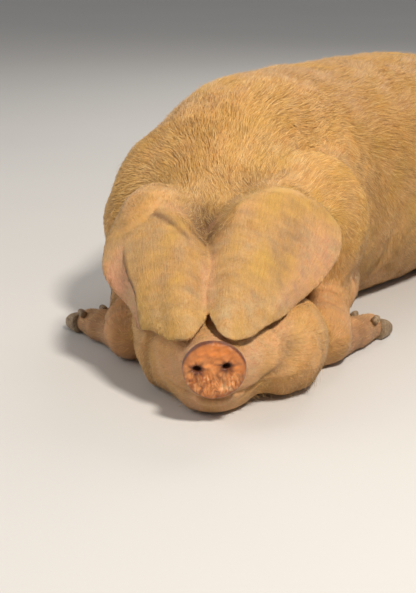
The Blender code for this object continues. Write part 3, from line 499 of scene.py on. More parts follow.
def body_detail(d, P, H):
    """Folds of the neck, elbows and flanks, the shoulder blades and hips under the hide, and a slow unevenness."""
    x, y, z = H.T
    # the neck is turned, so its left side gathers in upright folds
    left = sstep(0.09, 0.15, x) * sstep(0.03, 0.09, z) * (1 - sstep(0.33, 0.42, z))
    for at, lean, deep, w in ((0.335, 0.10, 0.0042, 0.012), (0.395, 0.16, 0.0032, 0.013), (0.462, 0.22, 0.0026, 0.015)):
        mid = at + lean * (z - 0.15) + 0.006 * np.sin(24 * z + 50 * at)
        d = d + left * (deep * bell(y - mid, w) - 0.4 * deep * bell(y - mid - 2.1 * w, 1.4 * w))
    # under the throat and along the right side only slight ones
    right = sstep(0.10, 0.15, -x) * sstep(0.03, 0.08, z) * (1 - sstep(0.22, 0.30, z))
    for at, deep in ((0.345, 0.0030), (0.420, 0.0022)):
        mid = at - 0.12 * (z - 0.12) + 0.005 * np.sin(31 * z + at * 40)
        d = d + right * deep * bell(y - mid, 0.010)
    for s in (-1, 1):
        X, Y = s * P[:, 0], P[:, 1]
        # the flank's fold in front of the thigh, and a crease down from the elbow
        m = sstep(0.15, 0.20, X) * sstep(0.06, 0.12, z) * (1 - sstep(0.30, 0.42, z))
        mid = 0.470 + 0.30 * (z - 0.16) + 0.004 * np.sin(30 * z)
        d = d + m * (0.0048 * bell(Y - mid, 0.014) - 0.0020 * bell(Y - mid + 0.036, 0.022))
        m = sstep(0.14, 0.20, X) * sstep(0.05, 0.10, z) * (1 - sstep(0.18, 0.26, z))
        mid = 0.145 + 0.25 * (z - 0.10)
        d = d + m * 0.0032 * bell(Y - mid, 0.012)
        # ribs, barely showing
        m = sstep(0.17, 0.23, X) * sstep(0.12, 0.20, z) * (1 - sstep(0.30, 0.40, z)) * sstep(0.15, 0.22, Y) * (1 - sstep(0.42, 0.47, Y))
        d = d + m * 0.0007 * np.sin(2 * math.pi * (Y + 0.35 * z) / 0.046)
        # behind the shoulder blade and before the hip
        d = d + 0.0030 * bell(Y - 0.215 + 0.2 * (z - 0.3), 0.035) * sstep(0.10, 0.17, X) * sstep(0.20, 0.28, z) * (1 - sstep(0.44, 0.48, z))
        d = d + 0.0030 * bell(Y - 0.585, 0.040) * sstep(0.08, 0.14, X) * sstep(0.30, 0.38, z)
    # a shallow furrow down the back and over the croup
    back = sstep(0.40, 0.45, z) * sstep(0.12, 0.30, P[:, 1])
    d = d + 0.0022 * back * bell(P[:, 0], 0.020)
    # the cleft below the tail
    rear = sstep(0.90, 0.95, P[:, 1]) * (1 - sstep(0.30, 0.36, z)) * sstep(0.03, 0.07, z)
    d = d + 0.0075 * rear * bell(P[:, 0], 0.013)
    behind = sstep(0.25, 0.40, y)
    return d + behind * (0.0016 * ripple(P, 0.140, 5) + 0.0007 * ripple(P, 0.045, 6))


TAIL_LINE = catmull(np.array(TAIL), 0, 22)


def tail_field(P):
    d = np.full(len(P), 1.0)
    near = (P[:, 1] > 0.88) & (P[:, 2] > 0.14)
    if near.any():
        Q = P[near]
        e = np.full(len(Q), 1.0)
        n = len(TAIL_LINE) - 1
        for i in range(n):
            r0, r1 = (0.0195 - 0.0133 * k / n for k in (i, i + 1))
            e = np.minimum(e, cone(Q, TAIL_LINE[i], TAIL_LINE[i + 1], r0, r1))
        d[near] = e
    return d


def skin_field(P, XY=None, col=None, fine=True):
    """Signed distance at trunk-frame points to the whole skin."""
    d, _, _, H = forms(P, XY, col)
    if fine:
        near = np.flatnonzero(np.abs(d) < 0.04)
        dn, Pn, Hn = d[near], P[near], H[near]
        head = Hn[:, 1] < 0.40
        dn[head] = face_detail(dn[head], Hn[head])
        d[near] = body_detail(dn, Pn, Hn)
    d = smin(d, tail_field(P), 0.012)
    (e0, u0), (e1, u1) = (ear.field(P) for ear in EARS)
    u = np.where(e0 < e1, u0, u1)
    e = smin(e0, e1, 0.001 + 0.0075 * sstep(0.12, 0.2, u) * (1 - sstep(0.66, 0.84, u)))
    d = smin(d, e, 0.0015 + 0.040 * (1 - sstep(0.04, 0.32, u)))
    return smax(d, 0.0008 - P[:, 2], 0.010)


# ------------------------------------------------------------------ surface of a field
CORNERS = [(x, y, z) for x in (0, 1) for y in (0, 1) for z in (0, 1)]


def pinch_table():
    """For each pattern of inner corners of a cell, whether the inner or the outer ones fall apart."""
    def joined(group):
        if not group:
            return True
        seen, todo = {group[0]}, [group[0]]
        while todo:
            a = todo.pop()
            for b in group:
                if b not in seen and sum(abs(p - q) for p, q in zip(CORNERS[a], CORNERS[b])) == 1:
                    seen.add(b)
                    todo.append(b)
        return len(seen) == len(group)
    return np.array([not (joined([k for k in range(8) if c >> k & 1]) and joined([k for k in range(8) if not c >> k & 1]))
                     for c in range(256)])


def polygonize(lo, hi, h, block=4):
    """Quads along the skin, on a lattice of spacing h that is worked only in blocks near the surface."""
    lo = np.array(lo, float)
    nb = np.ceil((np.array(hi) - lo) / (h * block)).astype(int)
    n = nb * block + 1

    def lattice(ids, shape, step):
        """The field at lattice points given by sorted flat numbers, each plan position worked once."""
        out = np.empty(len(ids), np.float32)
        for k in range(0, len(ids), 700000):
            part = ids[k:k + 700000]
            column = part // shape[2]
            new = np.r_[True, column[1:] != column[:-1]]
            first = column[new]
            XY = lo[:2] + np.stack([first // shape[1], first % shape[1]], 1) * step
            col = np.cumsum(new) - 1
            P = np.c_[XY[col], lo[2] + (part % shape[2]) * step]
            out[k:k + 700000] = skin_field(P, XY, col)
        return out

    D = lattice(np.arange(int(np.prod(nb + 1))), nb + 1, h * block).reshape(nb + 1)
    least, neg = np.full(nb, 9.0), np.zeros(nb, int)
    for dx, dy, dz in CORNERS:
        c = D[dx:nb[0] + dx, dy:nb[1] + dy, dz:nb[2] + dz]
        least = np.minimum(least, np.abs(c))
        neg += c < 0
    active = (least < 1.05 * h * block) | ((neg > 0) & (neg < 8))
    F = np.full(n, 1.0, np.float32)
    F[:-1, :-1, :-1] = np.repeat(np.repeat(np.repeat(np.where(neg == 8, -1.0, 1.0).astype(np.float32), block, 0), block, 1), block, 2)
    flag = np.zeros(n, bool)
    at = np.argwhere(active) * block
    for i in range(block + 1):
        for j in range(block + 1):
            for k in range(block + 1):
                flag[at[:, 0] + i, at[:, 1] + j, at[:, 2] + k] = True
    ids = np.flatnonzero(flag)
    F.reshape(-1)[ids] = lattice(ids, n, h)
    inside = F < 0
    pinched = pinch_table()
    while True:
        code = np.zeros(n - 1, np.uint8)
        for k, (dx, dy, dz) in enumerate(CORNERS):
            code |= inside[dx:n[0] - 1 + dx, dy:n[1] - 1 + dy, dz:n[2] - 1 + dz].astype(np.uint8) << k
        bad = np.argwhere(pinched[code])
        if not len(bad):
            break
        for c in CORNERS:
            k = tuple((bad + c).T)
            F[k] = np.minimum(F[k], -0.1 * h)
        inside = F < 0
    idx = np.argwhere((code > 0) & (code < 255))
    vid = np.full(n - 1, -1, np.int32)
    vid[tuple(idx.T)] = np.arange(len(idx))
    pos, cnt = np.zeros((len(idx), 3)), np.zeros(len(idx))
    for i, a in enumerate(CORNERS):
        for b in CORNERS[i + 1:]:
            if sum(abs(p - q) for p, q in zip(a, b)) != 1:
                continue
            fa, fb = F[tuple((idx + a).T)].astype(float), F[tuple((idx + b).T)].astype(float)
            m = (fa < 0) != (fb < 0)
            t = np.where(m, fa / np.where(m, fa - fb, 1), 0)
            pos += np.where(m[:, None], np.array(a) + t[:, None] * (np.array(b) - np.array(a)), 0)
            cnt += m
    V = lo + (idx + pos / cnt[:, None]) * h
    quads = []
    for ax in range(3):
        o1, o2 = [(1, 2), (2, 0), (0, 1)][ax]
        sa, sb = [slice(1, -1)] * 3, [slice(1, -1)] * 3
        sa[ax], sb[ax] = slice(0, n[ax] - 1), slice(1, n[ax])
        A, B = inside[tuple(sa)], inside[tuple(sb)]
        e = np.argwhere(A != B)
        up = A[tuple(e.T)]
        g = e.copy()
        g[:, o1] += 1
        g[:, o2] += 1
        q = []
        for d1, d2 in ((1, 1), (0, 1), (0, 0), (1, 0)):
            k = g.copy()
            k[:, o1] -= d1
            k[:, o2] -= d2
            q.append(vid[tuple(k.T)])
        q = np.stack(q, 1)
        q[~up] = q[~up][:, ::-1]
        quads.append(q)
    return V, np.concatenate(quads)


def mesh_of(name, V, F, smooth=True):
    """An object from numpy points and equal-sided faces, in the row frame."""
    me = bpy.data.meshes.new(name)
    V, F = np.ascontiguousarray(V, np.float32), np.ascontiguousarray(F, np.int32)
    me.vertices.add(len(V))
    me.vertices.foreach_set("co", V.ravel())
    me.loops.add(F.size)
    me.loops.foreach_set("vertex_index", F.ravel())
    me.polygons.add(len(F))
    me.polygons.foreach_set("loop_start", np.arange(len(F), dtype=np.int32) * F.shape[1])
    me.polygons.foreach_set("use_smooth", np.full(len(F), smooth))
    me.update(calc_edges=True)
    ob = bpy.data.objects.new(name, me)
    bpy.context.scene.collection.objects.link(ob)
    return ob


def points_of(me):
    co = np.empty(len(me.vertices) * 3, np.float32)
    me.vertices.foreach_get("co", co)
    return co.reshape(-1, 3).astype(float)


def settle(ob):
    dg = bpy.context.evaluated_depsgraph_get()
    me = bpy.data.meshes.new_from_object(ob.evaluated_get(dg))
    ob.modifiers.clear()
    old = ob.data
    ob.data = me
    bpy.data.meshes.remove(old)


def onto_skin(P, times=2):
    """Moves trunk-frame points onto the skin along its slope."""
    T = np.array([(1, -1, -1), (-1, -1, 1), (-1, 1, -1), (1, 1, 1)], float)
    for _ in range(times):
        e = 0.0004
        f = [skin_field(P + e * t) for t in T]
        g = sum(t * v[:, None] for t, v in zip(T, f)) / (4 * e)
        d = sum(f) / 4
        step = g * (d / np.maximum((g * g).sum(1), 0.25))[:, None]
        size = np.linalg.norm(step, axis=1, keepdims=True)
        P = P - step * np.minimum(1, 0.0025 / np.maximum(size, 1e-9))
    return P


STEP = 0.0036
V, Q = polygonize((-0.423, -0.783, -0.022), (0.50, 1.04, 0.53), STEP)
skin = mesh_of("skin", V + SHIFT, Q)
# the body's broad even parts need fewer faces than the head and feet
P = points_of(skin.data) - SHIFT
H = head_of(P)
ease = sstep(0.34, 0.46, H[:, 1])
group = skin.vertex_groups.new(name="ease")
order = np.round(ease * 4).astype(int)
for k in range(1, 5):
    group.add(np.flatnonzero(order == k).tolist(), k / 4, "REPLACE")
m = skin.modifiers.new("fewer", "DECIMATE")
m.ratio = 0.54
m.vertex_group = "ease"
m.vertex_group_factor = 0.3
m.use_collapse_triangulate = True
settle(skin)
skin.vertex_groups.clear()

# the snout disc and the eyes' surroundings are divided once more and laid on the exact form
bm = bmesh.new()
bm.from_mesh(skin.data)
bmesh.ops.triangulate(bm, faces=[f for f in bm.faces if len(f.verts) > 3])
for reach in ((0.026, 0.019, 0.064), (0.008, 0.014, 0.056)):
    co = np.array([v.co for v in bm.verts]) - SHIFT
    H = head_of(co)
    pick = (H[:, 1] < reach[0]) & (disc_radius(H) < reach[2])
    for c, way in EYES:
        pick |= np.linalg.norm(H - c - way * 0.008, axis=1) < reach[1]
    bm.verts.index_update()
    edges = [e for e in bm.edges if pick[e.verts[0].index] and pick[e.verts[1].index]]
    bmesh.ops.subdivide_edges(bm, edges=edges, cuts=1, use_grid_fill=False)
    bmesh.ops.triangulate(bm, faces=[f for f in bm.faces if len(f.verts) > 3])
co = np.array([v.co for v in bm.verts]) - SHIFT
H = head_of(co)
pick = (H[:, 1] < 0.034) & (np.abs(H[:, 0] - HX) < 0.080) & (H[:, 2] < 0.18)
for c, way in EYES:
    pick |= np.linalg.norm(H - c - way * 0.008, axis=1) < 0.030
co[pick] = onto_skin(co[pick])
bm.verts.ensure_lookup_table()
for k in np.flatnonzero(pick):
    bm.verts[k].co = co[k] + SHIFT
bm.to_mesh(skin.data)
bm.free()

# the neck and trunk are evened out, where the turn of the neck would leave a fine unevenness
P = points_of(skin.data) - SHIFT
H = head_of(P)
E = np.empty(len(skin.data.edges) * 2, np.int32)
skin.data.edges.foreach_get("vertices", E)
E = E.reshape(-1, 2)
ends = np.r_[E[:, 0], E[:, 1]]
count = np.bincount(ends, minlength=len(P))[:, None]
share = (0.6 * sstep(0.36, 0.46, H[:, 1]) * sstep(0.10, 0.16, P[:, 2]) * (1 - sstep(0.84, 0.90, P[:, 1])))[:, None]
for back in (1.0, -1.02) * 7:
    mean = np.stack([np.bincount(ends, np.r_[P[E[:, 1], k], P[E[:, 0], k]], len(P)) for k in range(3)], 1) / count
    P = P + back * share * (mean - P)
# the lower corners of the ears are rounded off
share = np.zeros(len(P))
for corner, reach in (((0.3630, -0.5155, 0.1897), 0.020), ((0.1620, -0.7820, 0.1300), 0.013), ((0.2195, -0.8075, 0.1425), 0.011)):
    share = np.maximum(share, 0.55 * (1 - sstep(0.45 * reach, reach, np.linalg.norm(P + SHIFT - corner, axis=1))))
share = share[:, None]
for _ in range(14):
    mean = np.stack([np.bincount(ends, np.r_[P[E[:, 1], k], P[E[:, 0], k]], len(P)) for k in range(3)], 1) / count
    P = P + share * (mean - P)
P = np.clip(P + SHIFT, np.array(CAD_BOX[0]) + (0.0003, 0.0003, 0.0006), np.array(CAD_BOX[1]) - 0.0003)
skin.data.vertices.foreach_set("co", P.astype(np.float32).ravel())
skin.data.polygons.foreach_set("use_smooth", np.ones(len(skin.data.polygons), bool))
skin.data.update()

# ------------------------------------------------------------------ where points of the skin lie
def leg_ways(P):
    """For each leg: distance to it, the direction down it, how far down it (0 to 1) and the angle round it."""
    out = []
    for leg, k in zip(LEGS, LEG_BLEND):
        best, way, down, turn = np.full(len(P), 9.0), np.zeros((len(P), 3)), np.zeros(len(P)), np.zeros(len(P))
        bones = [(np.array(b[1], float), np.array(b[2], float), b[3], b[4]) for b in leg if b[0] == "cone"]
        long = [np.linalg.norm(b - a) for a, b, _, _ in bones]
        start = np.r_[0, np.cumsum(long)]
        for (a, b, ra, rb), L, s0 in zip(bones, long, start):
            ab = b - a
            t = np.clip(((P - a) @ ab) / (ab @ ab), 0, 1)
            off = P - a - t[:, None] * ab
            e = np.linalg.norm(off, axis=1) - (ra + (rb - ra) * t)
            m = e < best
            best[m] = e[m]
            way[m] = ab / L
            down[m] = (s0 + t[m] * L) / start[-1]
            side = np.cross(ab / L, (0, 0, 1.0))
            side /= np.linalg.norm(side) + 1e-9
            up = np.cross(side, ab / L)
            turn[m] = np.arctan2(off[m] @ up, off[m] @ side) / (2 * math.pi)
        out.append((leg_field(P, leg), way, down, turn))
    return out


def by_eye(H):
    """How far points of the head frame are from the nearer eye's middle."""
    return np.minimum(*(np.linalg.norm(H - c, axis=1) for c, _ in EYES))


class Place:
    """Everything about points of the skin that the coat and the markings need."""

    def __init__(self, P, N):
        self.P, self.N = P, N
        self.H = H = head_of(P)
        nx, ny = N[:, 0], N[:, 1]
        self.NH = np.stack([nx * C + ny * S, -nx * S + ny * C, N[:, 2]], 1)
        d, hd, legs, _ = forms(P)
        # ears
        self.ear = np.zeros(len(P), int)
        self.ear_uv = np.zeros((len(P), 2))
        self.ear_gap = np.full(len(P), 1.0)
        self.ear_way = np.zeros((len(P), 3))
        self.ear_out = np.zeros(len(P))
        for ear, tag in zip(EARS, (1, 2)):
            near, cell = ear.near(P, 0.03)
            t, u = ear.thickness(cell)
            gap = near - t
            m = gap < self.ear_gap
            self.ear_gap[m] = gap[m]
            on = m & (gap < 0.0016) & (u > 0.03)
            self.ear[on] = tag
            i, j = cell[:, 0], cell[:, 1]
            a, b, rel = ear.M[i + 1, j] - ear.M[i, j], ear.M[i, j + 1] - ear.M[i, j], P - ear.M[i, j]
            aa, bb, ab, ra, rb = (a * a).sum(1), (b * b).sum(1), (a * b).sum(1), (rel * a).sum(1), (rel * b).sum(1)
            det = np.maximum(aa * bb - ab * ab, 1e-16)
            fu = np.clip((bb * ra - ab * rb) / det, 0, 1)
            fv = np.clip((aa * rb - ab * ra) / det, 0, 1)
            self.ear_uv[m] = np.stack([(i + fu) / (ear.nu - 1), (j + fv) / (ear.nv - 1)], 1)[m]
            w = ear.du[i, j]
            self.ear_way[m] = (w / np.linalg.norm(w, axis=1, keepdims=True))[m]
            self.ear_out[m] = (N * ear.n[i, j]).sum(1)[m]
        first = np.where(self.ear == 2, 0.20, 0.04)
        last = np.where(self.ear == 2, 0.36, 0.34)
        self.in_ear = np.where(self.ear > 0, sstep(first, last, self.ear_uv[:, 0]), 0)
        # legs
        ways = leg_ways(P)
        gaps = np.stack([w[0] for w in ways], 1)
        self.leg = gaps.argmin(1)
        pick = (self.leg, np.arange(len(P)))
        self.leg_gap = gaps[np.arange(len(P)), self.leg]
        self.leg_way = np.stack([w[1] for w in ways])[pick]
        self.leg_down = np.stack([w[2] for w in ways])[pick]
        self.leg_turn = np.stack([w[3] for w in ways])[pick]
        rows = plan(P[:, :2], SPINE, 40, 0.10, 0.085)
        self.s, self.way2 = rows[:, 6], rows[:, 7:9]
        self.angle = np.arctan2(P[:, 2] - rows[:, 2], rows[:, 0])
        core = rise(rows, P[:, 2], 2.25, 0.10, 0.085)
        lone = sstep(0.002, 0.022, np.minimum(core, hd))          # standing clear of the trunk and head
        low = 1 - sstep(0.13, 0.20, P[:, 2])
        self.in_leg = (1 - sstep(0.002, 0.020, self.leg_gap)) * lone * (self.ear == 0) * low
        self.tail = 1 - sstep(0.001, 0.008, tail_field(P))
        self.head = 1 - sstep(0.28, 0.44, H[:, 1])

    def lie(self):
        """The way the coat lies, along the skin."""
        P, H, N = self.P, self.H, self.N
        hw = self.head[:, None]
        back = np.tile([-S, C, 0.0], (len(P), 1))
        along = np.c_[self.way2, np.zeros(len(P))]
        F = hw * back + (1 - hw) * along
        F /= np.linalg.norm(F, axis=1, keepdims=True) + 1e-9
        # down the sides, more so low on the flank, shoulder and jowl
        side = 1 - np.clip(N[:, 2], 0, 1) ** 2
        drop = side * (0.30 + 0.55 * (1 - sstep(0.10, 0.40, P[:, 2])) + 0.35 * (1 - hw[:, 0]) * sstep(0.3, 0.7, side))
        F[:, 2] -= drop
        # from the poll the hair climbs the crest and parts to the shoulders
        crest = sstep(0.30, 0.40, H[:, 1]) * (1 - sstep(0.56, 0.72, H[:, 1])) * sstep(0.26, 0.34, P[:, 2])
        out = np.stack([C * np.ones(len(P)), S * np.ones(len(P)), np.zeros(len(P))], 1) * (H[:, 0] - 0.03)[:, None] * 2.2
        F = F + crest[:, None] * out
        lw = self.in_leg[:, None]
        F = F * (1 - lw) + self.leg_way * lw
        ew = self.in_ear[:, None]
        F = F * (1 - ew) + self.ear_way * ew
        if self.tail.max() > 0:
            k = np.clip(np.argmin(((P[:, None] - TAIL_LINE[None]) ** 2).sum(2), 1), 0, len(TAIL_LINE) - 2) if len(P) < 60000 else None
            if k is None:
                m = self.tail > 0
                k = np.zeros(len(P), int)
                k[m] = np.clip(np.argmin(((P[m][:, None] - TAIL_LINE[None]) ** 2).sum(2), 1), 0, len(TAIL_LINE) - 2)
            F = F * (1 - self.tail[:, None]) + (TAIL_LINE[k + 1] - TAIL_LINE[k]) / 0.03 * self.tail[:, None]
        F = F - N * (F * N).sum(1, keepdims=True)
        F /= np.linalg.norm(F, axis=1, keepdims=True) + 1e-9
        # the lie wanders
        a = 0.30 * ripple(P, 0.16, 21) + 0.20 * ripple(P, 0.055, 22) + 0.10 * ripple(P, 0.022, 23)
        a = a * (1 - 0.6 * self.in_ear) * (1 - 0.4 * self.in_leg)
        B = np.cross(N, F)
        return F * np.cos(a)[:, None] + B * np.sin(a)[:, None]

    def marks(self):
        """Markings, 0 to 1: bare pink, pale dust, brown grime with painted shade in the creases, and how orange the
        hair is; the bare nose; and the nostrils' stains with painted shade round the snout disc.
        """
        P, H, N = self.P, self.H, self.NH
        x, y, z = H.T
        X = x - HX
        slow, mid, fine = ripple(P, 0.20, 31), ripple(P, 0.07, 32), ripple(P, 0.025, 33)
        u, v = self.ear_uv.T
        right, left = self.ear == 2, self.ear == 1
        top = self.ear_out > 0
        pink = 0.16 + 0.07 * slow + 0.06 * mid
        # cheeks and lips, where the hair is thin
        behind = np.where(X > 0.02, y - 0.085 - 0.55 * (z - 0.07), y - 0.125)          # past the cheek's crease
        cheek = self.head * (1 - sstep(-0.006, 0.022, behind)) * (self.ear == 0)
        pink = pink + 0.50 * cheek * (0.75 + 0.25 * mid)
        # ears: the outer lobes, the seam where they meet, under the flaps
        lobe_r = sstep(0.0, 0.035, v - 0.725 - 0.14 * sstep(0.70, 0.95, u)) * sstep(0.36, 0.60, u) * right
        lobe_l = sstep(0.60, 0.80, v) * sstep(0.26, 0.45, u) * (1 - sstep(0.80, 0.92, u)) * left
        seam = (1 - sstep(0.02, 0.09, v)) * sstep(0.40, 0.50, u) * (1 - sstep(0.78, 0.88, u)) * (self.ear > 0)
        pink = pink + top * (1.10 * lobe_r + 0.62 * lobe_l * (0.8 + 0.2 * fine) + 0.50 * seam)
        pink = pink + 0.45 * bell(u - 0.25, 0.05) * bell(v - 0.27, 0.10) * right * top
        pink = pink + 0.28 * bell(u - 0.30, 0.08) * bell(v - 0.25, 0.12) * left * top
        pink = np.where((self.ear > 0) & ~top, pink + (0.75 + 0.1 * mid - pink) * self.in_ear, pink)
        # belly, armpits, between the thighs and under the tail
        low = (1 - sstep(0.03, 0.13, P[:, 2])) * (y > 0.3)
        pink = pink + 0.28 * low + 0.35 * sstep(0.92, 0.97, P[:, 1]) * (1 - sstep(0.22, 0.30, P[:, 2]))
        pink = pink + 0.22 * self.in_leg
        # pale dust on the crest, shoulder and back, in drifts
        pale = 0.22 + 0.20 * slow + 0.16 * mid + 0.10 * fine
        pale = pale + 0.55 * bell(np.hypot(x - 0.115, y - 0.470), 0.070) * sstep(0.30, 0.36, z)
        pale = pale + 0.45 * bell(np.hypot(x + 0.125, y - 0.440), 0.060) * sstep(0.24, 0.30, z)
        pale = pale + self.in_ear * top * (0.14 + 0.10 * mid + 0.30 * sstep(0.60, 0.95, u))
        pale = pale + 0.30 * cheek * sstep(0.02, 0.08, X) * bell(z - 0.10, 0.04)
        # grime: low on the sides, on the knees and hocks, in the dip between the ears; painted shade in the cheek
        # creases and in the right ear's fold and root crease
        grime_and_crease_shade = 0.06 + 0.05 * slow + 0.05 * fine + self.in_ear * top * (0.13 + 0.07 * mid + 0.05 * fine) * (1 - 0.6 * sstep(0.60, 0.95, u)) * (1 - lobe_r)
        grime_and_crease_shade = grime_and_crease_shade + (0.30 - 0.16 * self.head) * (1 - sstep(0.02, 0.10, P[:, 2] + 0.02 * mid)) + 0.20 * self.in_leg * sstep(0.35, 0.9, self.leg_down)
        grime_and_crease_shade = grime_and_crease_shade + 0.85 * bell(x + 0.005, 0.024) * bell(y - 0.250, 0.045) * sstep(0.20, 0.26, z)
        grime_and_crease_shade = grime_and_crease_shade + 0.55 * bell(x + 0.005, 0.036) * bell(y - 0.290, 0.055) * sstep(0.23, 0.29, z)
        grime_and_crease_shade = grime_and_crease_shade + 0.26 * left * top * bell(v - 0.60, 0.10) * bell(u - 0.56, 0.16)
        crease = np.where(X > 0, y - 0.085 - 0.55 * (z - 0.075), y - 0.148 + 0.35 * (z - 0.075))
        # painted shade: a dark line along the crease between cheek and jowl
        crease_shade = bell(crease, 0.008) * sstep(0.05, 0.08, np.abs(X)) * (1 - sstep(0.11, 0.16, z)) * (self.ear == 0)
        grime_and_crease_shade = grime_and_crease_shade + np.where(X > 0, 0.45, 0.22) * crease_shade * self.head
        # painted shade along the fold where the right ear's outer lobe turns back under the flap
        lobe_fold_shade_r = bell(v - 0.731 - 0.14 * sstep(0.70, 0.95, u), 0.017) * sstep(0.40, 0.62, u) * right * top
        grime_and_crease_shade = grime_and_crease_shade + 0.85 * lobe_fold_shade_r
        # painted shade in the crease across the right ear's root
        root_crease_shade_r = bell(u - 0.31 - 0.26 * np.maximum(0.5 - v, 0), 0.022) * sstep(0.12, 0.26, v) * (1 - sstep(0.48, 0.64, v)) * right * top
        grime_and_crease_shade = grime_and_crease_shade + 0.55 * root_crease_shade_r
        # the hair is more orange along the crest and flanks
        tawny = 0.45 + 0.22 * slow + 0.18 * mid + 0.25 * sstep(0.30, 0.45, P[:, 2]) * sstep(0.34, 0.50, y) - 0.30 * cheek
        tawny = tawny - 0.30 * self.in_ear + 0.35 * sstep(0.0, 0.03, behind) * (1 - sstep(0.36, 0.46, y)) * (self.ear == 0) * (1 - sstep(0.22, 0.28, z))
        ring = disc_radius(H)
        nose = (1 - sstep(0.0550, 0.0590, ring)) * (1 - sstep(0.012, 0.020, y + 0.10 * (z - DISC_Z)))
        # painted shade along the disc's rim, strongest at its top, and darkening towards the disc's edge; stained round
        # the nostrils
        stain_and_rim_shade = (bell(ring - 0.0540, 0.0030) * (0.45 + 0.50 * sstep(0.105, 0.140, z)) + 0.34 * sstep(0.034, 0.052, ring)) * (y < 0.03)
        for k in (0, 1):
            q = nostril_reach(H, k)
            ray = np.arctan2(z - NOSTRILS[k][1], x - NOSTRILS[k][0])
            under = NOSTRILS[k][1] - z
            stain_and_rim_shade = stain_and_rim_shade + (y < 0.03) * 0.46 * bell(x - NOSTRILS[k][0] + (0.004, -0.004)[k], 0.0105) * sstep(0.0, 0.012, under) * (1 - sstep(0.026, 0.046, under)) * (0.75 + 0.35 * np.sin(520 * x + 60 * z))
            stain_and_rim_shade = stain_and_rim_shade + (y < 0.03) * 0.95 * bell(np.maximum(q - 1.0, 0), 0.75 + 0.75 * (0.5 + 0.5 * np.sin(7 * ray + 2.0 * k)) ** 2)
        return [np.clip(k, 0, 1) for k in (pink, pale, grime_and_crease_shade, tawny, nose, stain_and_rim_shade)]

    def bristle(self):
        """How long and how wide the tufts are, by place."""
        P, H = self.P, self.H
        y, z = H[:, 1], P[:, 2]
        top = sstep(0.16, 0.34, z)
        behind = sstep(0.24, 0.40, y)
        length = 0.0065 + behind * (0.0085 + 0.0080 * top)
        # the mane: longest between the ears and along the crest
        mane = bell(H[:, 0] - 0.01 - 0.25 * np.maximum(y - 0.4, 0), 0.075) * sstep(0.20, 0.28, y) * (1 - sstep(0.62, 0.80, y)) * sstep(0.22, 0.28, z)
        length = length + 0.0060 * mane
        face = (1 - sstep(0.03, 0.16, y)) * (self.ear == 0)
        length = length * (1 - 0.45 * face)
        length = length * (1 - 0.35 * self.in_leg * sstep(0.2, 0.8, self.leg_down))
        past = np.where(H[:, 0] > HX + 0.02, y - 0.085 - 0.55 * (z - 0.07), y - 0.125)
        jowl = sstep(0.0, 0.030, past) * (1 - sstep(0.30, 0.36, y)) * (self.ear == 0) * (1 - sstep(0.20, 0.26, z))
        length = length + 0.0080 * jowl
        length = length + (0.0050 - length) * self.in_ear
        length = np.where((self.ear > 0) & (self.ear_out < 0), np.minimum(length, 0.006), length)
        length = length * (0.40 + 0.60 * sstep(0.018, 0.034, by_eye(H)))
        width = 0.00055 + 0.036 * length
        return length, width


# ------------------------------------------------------------------ tufts
def roots(V, F, N, per_area, cell, seed, keep=None):
    """Points spread evenly over the faces: scattered by area, then thinned to one in each small cell."""
    r = np.random.default_rng(seed)
    a, b, c = V[F[:, 0]], V[F[:, 1]], V[F[:, 2]]
    area = np.linalg.norm(np.cross(b - a, c - a), axis=1) / 2
    cum = np.cumsum(area)
    n = int(cum[-1] * per_area)
    f = np.searchsorted(cum, (np.arange(n) + r.random(n)) / n * cum[-1]).clip(0, len(F) - 1)
    s, t = np.sqrt(r.random(n)), r.random(n)
    w = np.stack([1 - s, s * (1 - t), s * t], 1)
    P = (V[F[f]] * w[..., None]).sum(1)
    M = (N[F[f]] * w[..., None]).sum(1)
    M /= np.linalg.norm(M, axis=1, keepdims=True) + 1e-9
    key = np.floor((P + 3.0) / cell).astype(np.int64)
    key = (key[:, 0] * 4096 + key[:, 1]) * 4096 + key[:, 2]
    order = r.permutation(n)
    _, first = np.unique(key[order], return_index=True)
    keep = np.sort(order[first])
    return P[keep], M[keep]


BOX_LO = np.array(CAD_BOX[0]) - SHIFT + (0.0004, 0.0004, 0.0004)
BOX_HI = np.array(CAD_BOX[1]) - SHIFT - 0.0004


def raised(Q, N, ground, high):
    """Points moved along their normals to stand a given height over the skin."""
    Q = Q - N * np.clip(skin_field(Q) - ground - high, -0.012, 0.012)[:, None]
    return Q


